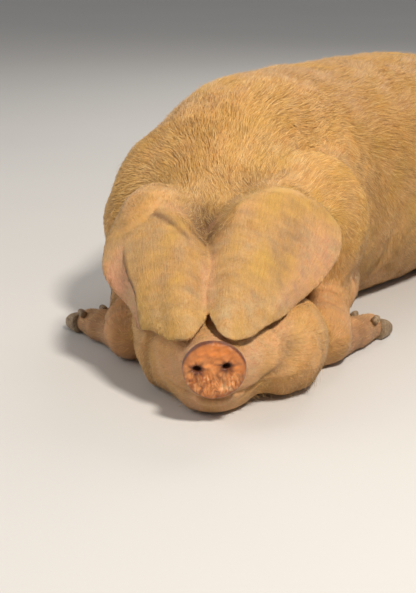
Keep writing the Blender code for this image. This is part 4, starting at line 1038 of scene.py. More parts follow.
def tufts(name, slot, place, bent, uv, seed, lift=(0.35, 0.95), stretch=1.0, slim=1.0, least=0.0, loose=0.13, rise=None):
    """One coat piece: a closed spike for each root, straight or bent over, leaning with its lock."""
    r = np.random.default_rng(seed)
    P, N = place.P, place.N
    n = len(P)
    F = place.lie()
    length, width = place.bristle()
    length = np.maximum(length * stretch, least) * r.uniform(0.75, 1.25, n)
    width = width * r.uniform(0.8, 1.25, n) * slim
    B = np.cross(N, F)
    a = r.normal(0, loose, n)
    F = F * np.cos(a)[:, None] + B * np.sin(a)[:, None]
    B = np.cross(N, F)
    # locks: neighbouring tufts draw together towards a few of their number
    key = np.floor((P + 3.0) / 0.0125).astype(np.int64)
    key = (key[:, 0] * 4096 + key[:, 1]) * 4096 + key[:, 2]
    _, first, inv = np.unique(key, return_index=True, return_inverse=True)
    pull = (P[first][inv.ravel()] - P)
    pull -= N * (pull * N).sum(1, keepdims=True)
    far = np.linalg.norm(pull, axis=1, keepdims=True)
    pull = pull * np.minimum(1, 0.007 / np.maximum(far, 1e-6)) * r.uniform(0.25, 0.6, n)[:, None]
    high = coat_depth(P, place.H) * r.uniform(lift[0], lift[1], n)
    high = high * (1 + 0.45 * (length > 0.011) * (place.H[:, 1] < 0.30))
    flat = 0.0011 * r.uniform(0.4, 1.0, n)
    high = np.where(place.ear_out < 0, flat, high + (flat - high) * place.in_ear) if (place.ear > 0).any() else high
    high = np.where(place.tail > 0.5, 0.0018, high)
    if rise is not None:
        high = r.uniform(rise[0], rise[1], n)
    F2 = F * length[:, None]
    ground = skin_field(P)
    tip = raised(P + F2 + pull * (1.0 if bent else 0.8), N, ground, high)
    if bent:
        wave = r.normal(0, 0.10, n)
        mid = raised(P + 0.52 * F2 + 0.35 * pull + B * (wave * length * 0.5)[:, None], N, ground, high * 0.66)
    base = P - N * 0.0006
    hw = (width / 2)[:, None]
    tri = np.stack([B, -0.5 * B + 0.87 * N, -0.5 * B - 0.87 * N], 1)      # the cross section, across the tuft
    ring0 = base[:, None] + tri * hw[..., None] * 1.05
    if bent:
        ring1 = mid[:, None] + tri * hw[..., None] * 0.78
        V = np.concatenate([ring0, ring1, tip[:, None]], 1)
        faces = [(0, 2, 1)] + [f for k in range(3) for f in ((k, (k + 1) % 3, 3 + (k + 1) % 3), (k, 3 + (k + 1) % 3, 3 + k), (3 + k, 3 + (k + 1) % 3, 6))]
        patch = np.array([(-1, -1), (1, -1), (0.0, 0.95), (-0.52, -0.62), (0.52, -0.62), (0.0, 0.35), (0.0, -0.30)])
    else:
        V = np.concatenate([ring0, tip[:, None]], 1)
        faces = [(0, 2, 1)] + [(k, (k + 1) % 3, 3) for k in range(3)]
        patch = np.array([(-1, -1), (1, -1), (0.0, 0.95), (0.0, -0.35)])
    V = np.clip(V, BOX_LO, BOX_HI)
    faces = np.array(faces)
    m = V.shape[1]
    allF = (faces[None] + (np.arange(n) * m)[:, None, None]).reshape(-1, 3)
    ob = mesh_of(name, V.reshape(-1, 3) + SHIFT, allF)
    me = ob.data
    # neighbouring tufts shade as one coat: each leans its shading towards the skin's
    own = np.concatenate([tri] * (2 if bent else 1) + [(0.5 * N + 0.5 * F)[:, None]], 1)
    soft = own * 0.60 + N[:, None] * 0.66
    soft /= np.linalg.norm(soft, axis=2, keepdims=True) + 1e-9
    me.normals_split_custom_set_from_vertices(soft.reshape(-1, 3).astype(np.float32))
    # the map: each tuft a small patch at its root's place; the buried base keeps to a corner of the patch
    corner = np.array([(-0.98, 0.55), (-0.62, 0.55), (-0.80, 0.90)])
    loop = np.concatenate([corner[None], patch[faces[1:]]]).reshape(-1, 2)
    at = uv(place)
    at = 0.004 + at * 0.992
    L = (at[:, None] + loop[None] * 0.0015).reshape(-1, 2)
    layer = me.uv_layers.new(name="OFBake")
    layer.data.foreach_set("uv", L.astype(np.float32).ravel())
    marks = place.marks()
    write_marks(me, [np.repeat(k, m) for k in marks])
    shade = np.repeat(r.uniform(0, 1, n), m)
    reach = np.tile(np.r_[np.zeros(3), np.full(3, 0.55), 1.0] if bent else np.r_[np.zeros(3), 1.0], n)
    put(me, "tuft", np.stack([shade, reach, np.repeat(r.uniform(0, 1, n), m)], 1))
    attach(ob, "root")
    return ob


def put(me, name, values):
    """A vector of three numbers at each point of the mesh."""
    a = me.attributes.new(name, "FLOAT_VECTOR", "POINT")
    a.data.foreach_set("vector", np.ascontiguousarray(values, np.float32).ravel())


def write_marks(me, marks):
    pink, pale, grime_and_crease_shade, tawny, nose, stain_and_rim_shade = marks
    put(me, "marks", np.stack([pink, pale, grime_and_crease_shade], 1))
    put(me, "tints", np.stack([tawny, nose, stain_and_rim_shade], 1))


# ------------------------------------------------------------------ the skin's places and its markings
me = skin.data
if any(len(p.vertices) > 3 for p in me.polygons[:50]):
    bm = bmesh.new()
    bm.from_mesh(me)
    bmesh.ops.triangulate(bm, faces=bm.faces)
    bm.to_mesh(me)
    bm.free()
SV = points_of(me) - SHIFT
SN = np.empty(len(me.vertices) * 3, np.float32)
me.vertex_normals.foreach_get("vector", SN)
SN = SN.reshape(-1, 3).astype(float)
SF = np.empty(len(me.polygons) * 3, np.int32)
me.loops.foreach_get("vertex_index", SF)
SF = SF.reshape(-1, 3)
whole = Place(SV, SN)
write_marks(me, whole.marks())
# the way the coat lies, carried by the skin; a coordinate along it is worked out but not kept
lie = whole.lie()
along = np.where(whole.in_ear > 0.5, whole.ear_uv[:, 0] * 0.30, whole.s * 1.35 + whole.H[:, 1] * whole.head * 0.2)
put(me, "lie", lie)
del lie, along

count = 1.0
mid_f = SV[SF].mean(1)
mid_h = head_of(mid_f)
face_ear = (whole.ear[SF] > 0).sum(1) >= 2
face_down = SN[SF].mean(1)[:, 2] < -0.55
shown = mid_f[:, 2] > 0.006
legs_f = (whole.in_leg[SF].mean(1) > 0.5) | (whole.tail[SF].mean(1) > 0.5)
nose_f = (disc_radius(mid_h) < 0.0575) & (mid_h[:, 1] < 0.020)


def angle_uv(v0, v1):
    """Unwrap of the trunk or neck: round it, and along it between two places."""
    def f(pl):
        return np.stack([np.clip((pl.angle / (2 * math.pi) + 0.75) % 1.0, 0, 1), np.clip((pl.s - v0) / (v1 - v0), 0, 1)], 1)
    return f


def head_uv(pl):
    a = np.arctan2(pl.H[:, 2] - 0.115, pl.H[:, 0] - HX) / (2 * math.pi)
    return np.stack([(a + 0.75) % 1.0, np.clip(pl.H[:, 1] / 0.46, 0, 1)], 1)


def ear_uv(pl):
    u, v = pl.ear_uv.T
    sx = np.where(pl.ear == 2, 0.5, 0.0)
    sy = np.where(pl.ear_out > 0, 0.0, 0.5)
    return np.stack([sx + 0.01 + 0.48 * np.clip(v, 0, 1), sy + 0.01 + 0.48 * np.clip(u, 0, 1)], 1)


def limb_uv(pl):
    qx, qy = (pl.leg % 2) * 0.5, (pl.leg // 2) * 0.45
    tail = pl.tail > 0.5
    u = qx + 0.01 + 0.48 * ((pl.leg_turn + 0.5) % 1.0)
    v = qy + 0.01 + 0.43 * np.clip(pl.leg_down, 0, 1)
    ta = np.arctan2(pl.P[:, 0], pl.P[:, 1] - 0.99) / (2 * math.pi) + 0.5
    return np.where(tail[:, None], np.stack([0.01 + 0.98 * ta, 0.91 + 0.08 * np.clip((0.38 - pl.P[:, 2]) / 0.2, 0, 1)], 1), np.stack([u, v], 1))


def coat_piece(name, slot, pick, cell, bent, most, uv, seed, **more):
    F = SF[pick]
    per = 2.6 / cell ** 2
    P, N = roots(SV, F, SN, per * count, cell, seed)
    print(name, "roots", len(P))
    if len(P) > most:
        k = np.sort(np.random.default_rng(seed + 1).permutation(len(P))[:most])
        P, N = P[k], N[k]
    pl = Place(P, N)
    hidden = (pl.ear == 0) & (pl.ear_gap < 0.0045) & ~((pl.ear_uv[:, 1] > 0.92) & (pl.ear_uv[:, 0] > 0.40) & (pl.ear_gap > 0.0002))
    hidden |= by_eye(pl.H) < 0.0165          # the lids are bare
    if hidden.any() or name == "coat_ears":
        ok = ~hidden
        pl = Place(P[ok], N[ok])
    ob = tufts(name, slot, pl, bent, uv, seed + 2, **more)
    print(name, len(pl.P), "tufts", len(ob.data.polygons), "triangles")
    return ob


HY, TY, X0 = mid_h[:, 1], mid_f[:, 1], mid_f[:, 0]
plain = shown & ~face_ear & ~legs_f & ~nose_f
below = face_down | (mid_f[:, 2] < 0.05)
on_head = plain & (HY < 0.335)
drift = 0.030 * ripple(mid_f, 0.05, 41) + np.random.default_rng(5).normal(0, 0.012, len(mid_f))
on_neck = plain & ~on_head & (HY + drift < 0.66) & (whole.s[SF].mean(1) + 0.5 * drift < 0.34)
rest = plain & ~on_head & ~on_neck
turned = (mid_h[:, 0] - 0.02 - 0.3 * (HY - 0.4)) / (0.10 + 0.12 * sstep(0.36, 0.6, HY))
low = mid_f[:, 2] <= 0.36
fore = TY < 0.75
round_trunk, round_neck = angle_uv(0.22, 0.95), angle_uv(0.0, 0.36)
coats = [
    coat_piece("coat_head", "hide", on_head, 0.0028, False, 49500, head_uv, 100),
    coat_piece("coat_ears", "ear_hide", face_ear & shown, 0.0030, False, 49500, ear_uv, 110),
    coat_piece("coat_neck_right", "hide", on_neck & (turned < -0.7), 0.0029, True, 19900, round_neck, 120),
    coat_piece("coat_neck_crest", "hide", on_neck & (turned >= -0.7) & (turned < 0.75), 0.0029, True, 19900, round_neck, 125),
    coat_piece("coat_neck_left", "hide", on_neck & (turned >= 0.75), 0.0029, True, 19900, round_neck, 130),
    coat_piece("coat_back", "hide", rest & ~below & ~low & fore, 0.0037, False, 49500, round_trunk, 140),
    coat_piece("coat_flank_right", "hide", rest & ~below & low & (X0 < 0) & fore, 0.0037, False, 49500, round_trunk, 150),
    coat_piece("coat_flank_left", "hide", rest & ~below & low & (X0 >= 0) & fore, 0.0037, False, 49500, round_trunk, 160),
    coat_piece("coat_limbs", "hide", legs_f & shown, 0.0042, False, 49500, limb_uv, 170),
    coat_piece("coat_rump", "hide", rest & ((TY >= 0.75) | below), 0.0040, False, 49500, angle_uv(0.0, 1.0), 180)]
# a few long bristles that stand out of the coat, whiskers on the muzzle and chin, and the fringe of the ears' rims
face_u, face_v = whole.ear_uv[SF].mean(1).T
rims = face_ear & ((face_u > 0.955) | ((face_u > 0.35) & ((face_v > 0.965) | (face_v < 0.03))))
dip = (on_head | face_ear | on_neck) & (np.hypot((mid_h[:, 0] + 0.005) / 0.060, (HY - 0.272) / 0.058) < 1) & (mid_f[:, 2] > 0.21) & ((face_u < 0.34) | ~face_ear)
coats += [
    coat_piece("coat_poll", "hide", dip, 0.0034, True, 2400, head_uv, 185, slim=0.62, least=0.019, loose=0.34, rise=(0.003, 0.0085)),
    coat_piece("strays", "hide", (on_neck | rest) & ~below, 0.024, True, 1500, angle_uv(0.0, 1.0), 190, lift=(1.0, 1.7), stretch=1.5, slim=0.45),
    coat_piece("whiskers", "hide", on_head & (HY < 0.15) & (mid_f[:, 2] < 0.15), 0.010, True, 500, head_uv, 200, lift=(1.5, 4.5), stretch=2.6, slim=0.55),
    coat_piece("fringe", "ear_hide", rims, 0.0030, True, 6000, ear_uv, 210, lift=(0.4, 1.0), stretch=1.3, slim=0.7)]


# ------------------------------------------------------------------ materials
class Look:
    """A procedural material under construction."""

    def __init__(self, name):
        self.m = bpy.data.materials.new(name)
        self.m.use_nodes = True
        self.t = self.m.node_tree
        self.shader = self.t.nodes["Principled BSDF"]
        self.place = self.t.nodes.new("ShaderNodeTexCoord").outputs["Object"]

    def into(self, socket, value):
        if isinstance(value, bpy.types.NodeSocket):
            self.t.links.new(value, socket)
        elif isinstance(value, (tuple, list)) and len(value) == 3 and socket.type == "RGBA":
            socket.default_value = tuple(value) + (1.0,)
        else:
            socket.default_value = value

    def math(self, op, a, b=0.0, c=0.0, clamp=False):
        n = self.t.nodes.new("ShaderNodeMath")
        n.operation, n.use_clamp = op, clamp
        for s, v in zip(n.inputs, (a, b, c)):
            self.into(s, v)
        return n.outputs[0]

    def mul(self, *v):
        out = v[0]
        for k in v[1:]:
            out = self.math("MULTIPLY", out, k)
        return out

    def add(self, *v):
        out = v[0]
        for k in v[1:]:
            out = self.math("ADD", out, k)
        return out

    def mix(self, share, a, b, blend="MIX"):
        n = self.t.nodes.new("ShaderNodeMix")
        n.data_type, n.blend_type, n.clamp_factor = "RGBA", blend, True
        self.into(n.inputs[0], share)
        self.into(n.inputs[6], a)
        self.into(n.inputs[7], b)
        return n.outputs[2]

    def span(self, x, a, b, lo=0.0, hi=1.0):
        n = self.t.nodes.new("ShaderNodeMapRange")
        n.interpolation_type = "SMOOTHSTEP"
        for s, v in zip(n.inputs, (x, a, b, lo, hi)):
            self.into(s, v)
        return n.outputs[0]

    def noise(self, scale, detail=3.0, rough=0.55, at=None, warp=0.0):
        n = self.t.nodes.new("ShaderNodeTexNoise")
        self.into(n.inputs["Vector"], at or self.place)
        n.inputs["Scale"].default_value = scale
        n.inputs["Detail"].default_value = detail
        n.inputs["Roughness"].default_value = rough
        n.inputs["Distortion"].default_value = warp
        return n.outputs[0]

    def cells(self, scale, at=None, feature="F1", rand=1.0):
        n = self.t.nodes.new("ShaderNodeTexVoronoi")
        n.feature = feature
        self.into(n.inputs["Vector"], at or self.place)
        n.inputs["Scale"].default_value = scale
        n.inputs["Randomness"].default_value = rand
        return n.outputs[0]

    def carried(self, name):
        """The three numbers that a mesh carries at its points under this name."""
        n = self.t.nodes.new("ShaderNodeAttribute")
        n.attribute_name = name
        s = self.t.nodes.new("ShaderNodeSeparateXYZ")
        self.t.links.new(n.outputs["Vector"], s.inputs[0])
        return s.outputs[0], s.outputs[1], s.outputs[2], n.outputs["Vector"]

    def stretch(self, v, scale):
        n = self.t.nodes.new("ShaderNodeVectorMath")
        n.operation = "MULTIPLY"
        self.into(n.inputs[0], v)
        n.inputs[1].default_value = scale
        return n.outputs[0]

    def bump(self, height, depth, strength=1.0, after=None):
        n = self.t.nodes.new("ShaderNodeBump")
        n.inputs["Distance"].default_value = depth
        n.inputs["Strength"].default_value = strength
        self.into(n.inputs["Height"], height)
        if after is not None:
            self.into(n.inputs["Normal"], after)
        return n.outputs[0]

    def set(self, **values):
        names = {"colour": "Base Color", "rough": "Roughness", "normal": "Normal", "specular": "Specular IOR Level",
                 "subsurface": "Subsurface Weight", "radius": "Subsurface Radius", "depth": "Subsurface Scale",
                 "sheen": "Sheen Weight", "sheen_rough": "Sheen Roughness", "coat": "Coat Weight", "coat_rough": "Coat Roughness",
                 "ior": "IOR"}
        for k, v in values.items():
            self.into(self.shader.inputs[names[k]], v)
        return self.m


TAN = (0.572, 0.324, 0.076)
TAWNY = (0.540, 0.260, 0.058)
PINK = (0.720, 0.345, 0.185)
DUST = (0.660, 0.455, 0.215)
GRIME_AND_CREASE_SHADE = (0.150, 0.068, 0.028)
NOSE = (0.700, 0.218, 0.044)


def hide_colour(k, hair):
    """The colour of the hide, the same for the skin and for the coat over it."""
    pink, pale, grime_and_crease_shade, _ = k.carried("marks")
    # the third tint holds the stains round the nostrils and the painted shade round the snout disc's rim
    tawny, nose, rim, _ = k.carried("tints")
    broad, mid, fine = k.noise(7.0, 4.0), k.noise(38.0, 4.0, 0.6), k.noise(210.0, 3.0, 0.6)
    c = k.mix(k.math("MULTIPLY_ADD", k.math("SUBTRACT", broad, 0.5), 1.2, tawny, True), TAN, TAWNY)
    blush = k.math("MULTIPLY_ADD", k.math("SUBTRACT", mid, 0.5), 0.5, pink, True)
    if hair:
        blush = k.mul(blush, 0.72)
    c = k.mix(blush, c, PINK)
    dust = k.mul(pale, k.span(k.add(k.mul(mid, 0.6), k.mul(fine, 0.4)), 0.36, 0.64))
    c = k.mix(k.mul(dust, 0.85), c, DUST)
    # grime darkens the hide, and with it the painted shade in the creases
    dirt_and_crease_shade = k.mul(grime_and_crease_shade, k.span(k.add(k.mul(mid, 0.55), k.mul(broad, 0.45)), 0.30, 0.66, 0.45, 1.15))
    c = k.mix(k.math("MINIMUM", dirt_and_crease_shade, 0.9), c, GRIME_AND_CREASE_SHADE)
    return c, nose, rim, broad, mid, fine


# the skin: thin-haired hide, with the bare snout disc
k = Look("skin")
c, nose, rim, broad, mid, fine = hide_colour(k, False)
_, _, _, face = k.carried("face")
_, _, _, comb = k.carried("comb")
whole_here, _, _, _ = k.carried("combed")
hairs = k.noise(1.0, 2.0, 0.6, k.stretch(comb, (1500.0, 120.0, 60.0)))
clumps = k.noise(1.0, 3.0, 0.6, k.stretch(comb, (330.0, 42.0, 20.0)), 0.4)
# between one combed region and the next the streaks die away
hairs = k.add(0.5, k.mul(k.math("SUBTRACT", hairs, 0.5), whole_here))
clumps = k.add(0.5, k.mul(k.math("SUBTRACT", clumps, 0.5), whole_here))
shade = k.add(k.mul(hairs, 0.34), k.mul(clumps, 0.40), k.mul(fine, 0.22), 0.55)
grey = k.t.nodes.new("ShaderNodeCombineXYZ")
for s in grey.inputs:
    k.into(s, shade)
c = k.mix(1.0, c, grey.outputs[0], "MULTIPLY")
# small dark specks where the hair is thin, and pores
specks = k.span(k.cells(330.0), 0.16, 0.05)
speckled = k.span(k.noise(26.0, 2.0), 0.50, 0.62)
pink, _, _, _ = k.carried("marks")
c = k.mix(k.mul(specks, speckled, k.span(pink, 0.30, 0.60), 0.55), c, (0.20, 0.085, 0.035))
# the snout: orange-brown, darker and redder in blotches on its upper part, streaked brown and cream below the nostrils,
# with stains round the nostrils and painted shade round the disc's rim and edge
low = k.noise(1.0, 4.0, 0.65, k.stretch(face, (78.0, 60.0, 27.0)), 1.3)
blot = k.noise(1.0, 3.0, 0.55, k.stretch(face, (44.0, 44.0, 30.0)), 0.4)
sep = k.t.nodes.new("ShaderNodeSeparateXYZ")
k.into(sep.inputs[0], face)
fx, fy, fz = sep.outputs
muzzle = k.mix(k.span(blot, 0.35, 0.68), NOSE, (0.850, 0.350, 0.110))
upper = k.span(fz, 0.100, 0.140)
muzzle = k.mix(k.mul(upper, k.span(blot, 0.38, 0.62), 0.50), muzzle, (0.600, 0.170, 0.040))
under = k.mul(k.span(fz, 0.118, 0.078), k.span(fz, 0.048, 0.062))
muzzle = k.mix(k.mul(under, k.span(blot, 0.62, 0.38), 0.62), muzzle, (0.330, 0.105, 0.026))
muzzle = k.mix(k.mul(under, k.span(low, 0.45, 0.62), 0.74), muzzle, (0.170, 0.058, 0.022))
muzzle = k.mix(k.mul(under, k.span(low, 0.45, 0.36), k.span(fz, 0.056, 0.075), 0.80), muzzle, (0.800, 0.520, 0.270))
# painted shade round the disc's rim and edge, with the stains round the nostrils
muzzle = k.mix(k.mul(rim, k.span(blot, 0.25, 0.55, 0.75, 0.95)), muzzle, (0.105, 0.028, 0.012))
c = k.mix(nose, c, muzzle)
k.set(colour=c, subsurface=0.12, radius=(1.0, 0.35, 0.20), depth=0.004, specular=0.42, sheen=0.12, sheen_rough=0.45)
k.set(rough=k.mix(nose, k.add(0.58, k.mul(mid, 0.12)), k.add(0.26, k.mul(fine, 0.26))))
wrinkled = k.cells(520.0, feature="DISTANCE_TO_EDGE")
leather = k.cells(1.0, k.stretch(face, (640.0, 640.0, 470.0)), "DISTANCE_TO_EDGE")
pores = k.noise(900.0, 2.0, 0.7)
folds = k.noise(1.0, 3.0, 0.6, k.stretch(comb, (95.0, 240.0, 60.0)), 1.2)
h = k.bump(k.add(k.mul(hairs, k.span(nose, 0.5, 0.1)), k.mul(clumps, k.span(nose, 0.5, 0.1), 1.8)), 0.0013, 0.75)
h = k.bump(k.mul(folds, k.span(pink, 0.30, 0.70), whole_here, k.span(nose, 0.5, 0.1)), 0.0022, 0.45, h)
h = k.bump(k.mul(k.math("MINIMUM", leather, 0.25), nose), 0.0011, 0.32, h)
h = k.bump(k.add(k.mul(pores, 0.5), k.mul(k.math("MINIMUM", wrinkled, 0.3), 0.8)), 0.0007, 0.6, h)
k.set(normal=h)
SKIN_LOOK = k.m


# the coat: bristles the colour of the hide at the root, with painted shade darkening each towards its root, paler and
# more golden to the tip, none quite alike
def coat_look(name, gold, dark, light, bright, grit=0.0):
    k = Look(name)
    c, nose, rim, broad, mid, fine = hide_colour(k, True)
    one, reach, other, _ = k.carried("tuft")
    c = k.mix(k.mul(k.span(reach, 0.15, 1.0), gold), c, (0.760, 0.470, 0.130))
    c = k.mix(k.mul(k.span(one, 0.30, 0.0), dark), c, (0.250, 0.120, 0.048))
    c = k.mix(k.mul(k.span(one, 0.70, 1.0), light), c, (0.830, 0.590, 0.250))
    if grit:
        c = k.mix(k.mul(k.span(k.noise(240.0, 3.0, 0.7), 0.53, 0.63), k.span(broad, 0.35, 0.60), grit), c, (0.270, 0.140, 0.055))
        c = k.mix(k.mul(k.span(k.noise(230.0, 3.0, 0.7), 0.44, 0.34), grit * 0.8), c, (0.780, 0.520, 0.260))
    # each tuft's own random tone, with painted shade making it darker towards its root
    tuft_tone_and_root_shade = k.add(bright, k.mul(other, 0.26), k.mul(reach, 0.22))
    grey = k.t.nodes.new("ShaderNodeCombineXYZ")
    for s in grey.inputs:
        k.into(s, tuft_tone_and_root_shade)
    c = k.mix(1.0, c, grey.outputs[0], "MULTIPLY")
    k.set(colour=c, specular=0.35, sheen=0.10, sheen_rough=0.4, rough=k.add(0.44, k.mul(other, 0.16)))
    k.set(normal=k.bump(k.noise(1400.0, 2.0, 0.6), 0.0003, 0.5))
    return k.m


COAT_LOOK = coat_look("coat", 0.26, 0.54, 0.60, 0.85)
EAR_LOOK = coat_look("ear_coat", 0.14, 0.42, 0.40, 0.61, 0.7)

# the claws: horn, striped along, worn pale at the ground edge, with dirt in the grooves
k = Look("horn")
_, _, _, horn = k.carried("horn")
sep = k.t.nodes.new("ShaderNodeSeparateXYZ")
k.into(sep.inputs[0], horn)
hx, hy, hz = sep.outputs
grain = k.noise(1.0, 4.0, 0.6, k.stretch(horn, (900.0, 90.0, 900.0)))
rings = k.noise(1.0, 2.0, 0.5, k.stretch(horn, (60.0, 420.0, 60.0)), 0.4)
blot = k.noise(85.0, 4.0, 0.6)
c = k.mix(k.span(grain, 0.30, 0.70), (0.150, 0.090, 0.045), (0.380, 0.265, 0.150))
c = k.mix(k.mul(k.span(rings, 0.48, 0.66), 0.5), c, (0.500, 0.380, 0.230))
c = k.mix(k.mul(k.span(blot, 0.48, 0.68), 0.75), c, (0.110, 0.066, 0.036))
c = k.mix(k.mul(k.span(hz, 0.012, 0.0), k.span(blot, 0.35, 0.6), 0.7), c, (0.520, 0.420, 0.290))
k.set(colour=c, rough=k.add(0.34, k.mul(grain, 0.22), k.mul(blot, 0.14)), specular=0.45)
h = k.bump(grain, 0.0006, 0.7)
h = k.bump(rings, 0.0011, 0.7, h)
h = k.bump(k.span(k.noise(240.0, 3.0), 0.60, 0.75), -0.0006, 0.6, h)
k.set(normal=h)
HORN_LOOK = k.m

# the eyes: a wide dark pupil, a brown iris with fine rays, a thin line of reddish white, under a wet surface
k = Look("eye")
out, turn, flat, _ = k.carried("gaze")
ray_at = k.t.nodes.new("ShaderNodeCombineXYZ")
k.into(ray_at.inputs[0], k.mul(turn, 46.0))
k.into(ray_at.inputs[1], k.mul(out, 3.0))
rays = k.noise(1.0, 3.0, 0.6, ray_at.outputs[0])
c = k.mix(k.span(rays, 0.35, 0.65), (0.045, 0.018, 0.007), (0.150, 0.070, 0.028))
c = k.mix(k.span(out, 0.50, 0.56), c, (0.020, 0.009, 0.005))
c = k.mix(k.span(out, 0.57, 0.66), c, k.mix(k.span(k.noise(700.0, 3.0), 0.45, 0.62), (0.560, 0.420, 0.340), (0.420, 0.170, 0.120)))
c = k.mix(k.span(flat, 0.250, 0.215), c, (0.004, 0.003, 0.003))
k.set(colour=c, rough=k.span(out, 0.50, 0.70, 0.10, 0.22), specular=0.6, coat=1.0, coat_rough=0.03)
k.set(normal=k.bump(k.mul(k.noise(420.0, 2.0), k.span(out, 0.55, 0.75)), 0.0003, 0.4))
EYE_LOOK = k.m

# the floor: pale, plain, matt
k = Look("floor")
c = k.mix(k.noise(1.3, 4.0, 0.5), (0.62, 0.60, 0.57), (0.66, 0.64, 0.61))
k.set(colour=c, rough=k.add(0.72, k.mul(k.noise(30.0, 3.0), 0.15)), specular=0.25)
k.set(normal=k.bump(k.noise(180.0, 3.0), 0.0006, 0.3))
FLOOR_LOOK = k.m


# ------------------------------------------------------------------ what the skin carries for its materials
put(skin.data, "face", whole.H)
# combed coordinates: across the lie and along it, in metres, and an offset that keeps the regions apart
ang = whole.angle
trunk_comb = np.stack([ang * 0.25, whole.s * 1.9, np.zeros(len(SV))], 1)
ha = np.arctan2(whole.H[:, 2] - 0.115, whole.H[:, 0] - HX)
head_comb = np.stack([ha * 0.10, whole.H[:, 1], np.full(len(SV), 3.0)], 1)
ear_comb = np.stack([whole.ear_uv[:, 1] * 0.21, whole.ear_uv[:, 0] * 0.27, 5.0 + whole.ear], 1)
leg_comb = np.stack([whole.leg_turn * 2 * math.pi * 0.045, whole.leg_down * 0.45, 9.0 + whole.leg], 1)
comb = np.where((whole.H[:, 1] < 0.36)[:, None], head_comb, trunk_comb)
comb = np.where((whole.in_leg > 0.5)[:, None], leg_comb, comb)
comb = np.where((whole.ear > 0)[:, None] & (whole.ear_uv[:, :1] > 0.12), ear_comb, comb)
put(skin.data, "comb", comb)
region = np.round(comb[:, 2]).astype(int)
spread = np.zeros(len(SV))
cut = SF[(np.ptp(region[SF], axis=1) > 0) | (np.ptp(comb[:, 0][SF], axis=1) > 0.03) | (np.ptp(comb[:, 1][SF], axis=1) > 0.05)]
spread[cut.ravel()] = 1.0
for again in range(2):
    near = SF[spread[SF].max(1) > 0]
    spread[near.ravel()] = np.maximum(spread[near.ravel()], 0.5 if again == 0 else 0.25)
put(skin.data, "combed", np.repeat(1 - spread[:, None], 3, 1))
skin.data.materials.clear()
skin.data.materials.append(SKIN_LOOK)
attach(skin, "root")
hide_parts("trunk", "neck", "head", "snout", "ear_left", "ear_right", "leg_front_left", "leg_front_right",
            "leg_hind_left", "leg_hind_right", "tail")
for ob in coats:
    ob.data.materials.clear()
    ob.data.materials.append(EAR_LOOK if ob.name == "coat_ears" else COAT_LOOK)


# ------------------------------------------------------------------ claws
def rounded(name, rings, carry):
    """A closed smooth body through rings of equal counts, subdivided, carrying its own lengthwise coordinates."""
    n = len(rings[0])
    V = [tuple(p) for r in rings for p in r]
    F = []
    for i in range(len(rings) - 1):
        for j in range(n):
            a, b = i * n + j, i * n + (j + 1) % n
            F.append((a, b, b + n, a + n))
    me = bpy.data.meshes.new(name)
    last = (len(rings) - 1) * n
    me.from_pydata(V, [], F + [tuple(range(n - 1, -1, -1)), tuple(range(last, last + n))])
    bm = bmesh.new()
    bm.from_mesh(me)
    bmesh.ops.recalc_face_normals(bm, faces=bm.faces)
    bmesh.ops.subdivide_edges(bm, edges=bm.edges, cuts=3, use_grid_fill=True, smooth=0.0)
    bm.to_mesh(me)
    bm.free()
    me.update()
    ob = bpy.data.objects.new(name, me)
    bpy.context.scene.collection.objects.link(ob)
    me.polygons.foreach_set("use_smooth", np.ones(len(me.polygons), bool))
    P = points_of(me)
    put(me, "horn", carry(P))
    me.vertices.foreach_set("co", (P + SHIFT).astype(np.float32).ravel())
    me.update()
    me.materials.append(HORN_LOOK)
    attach(ob, "root")
    return ob


def smooth_rings(keys, section, steps):
    """Rings between the key ones, eased by a spline."""
    K = catmull(np.array(keys, float), 0, (len(keys) - 1) * steps + 1)
    return [section(row) for row in K]


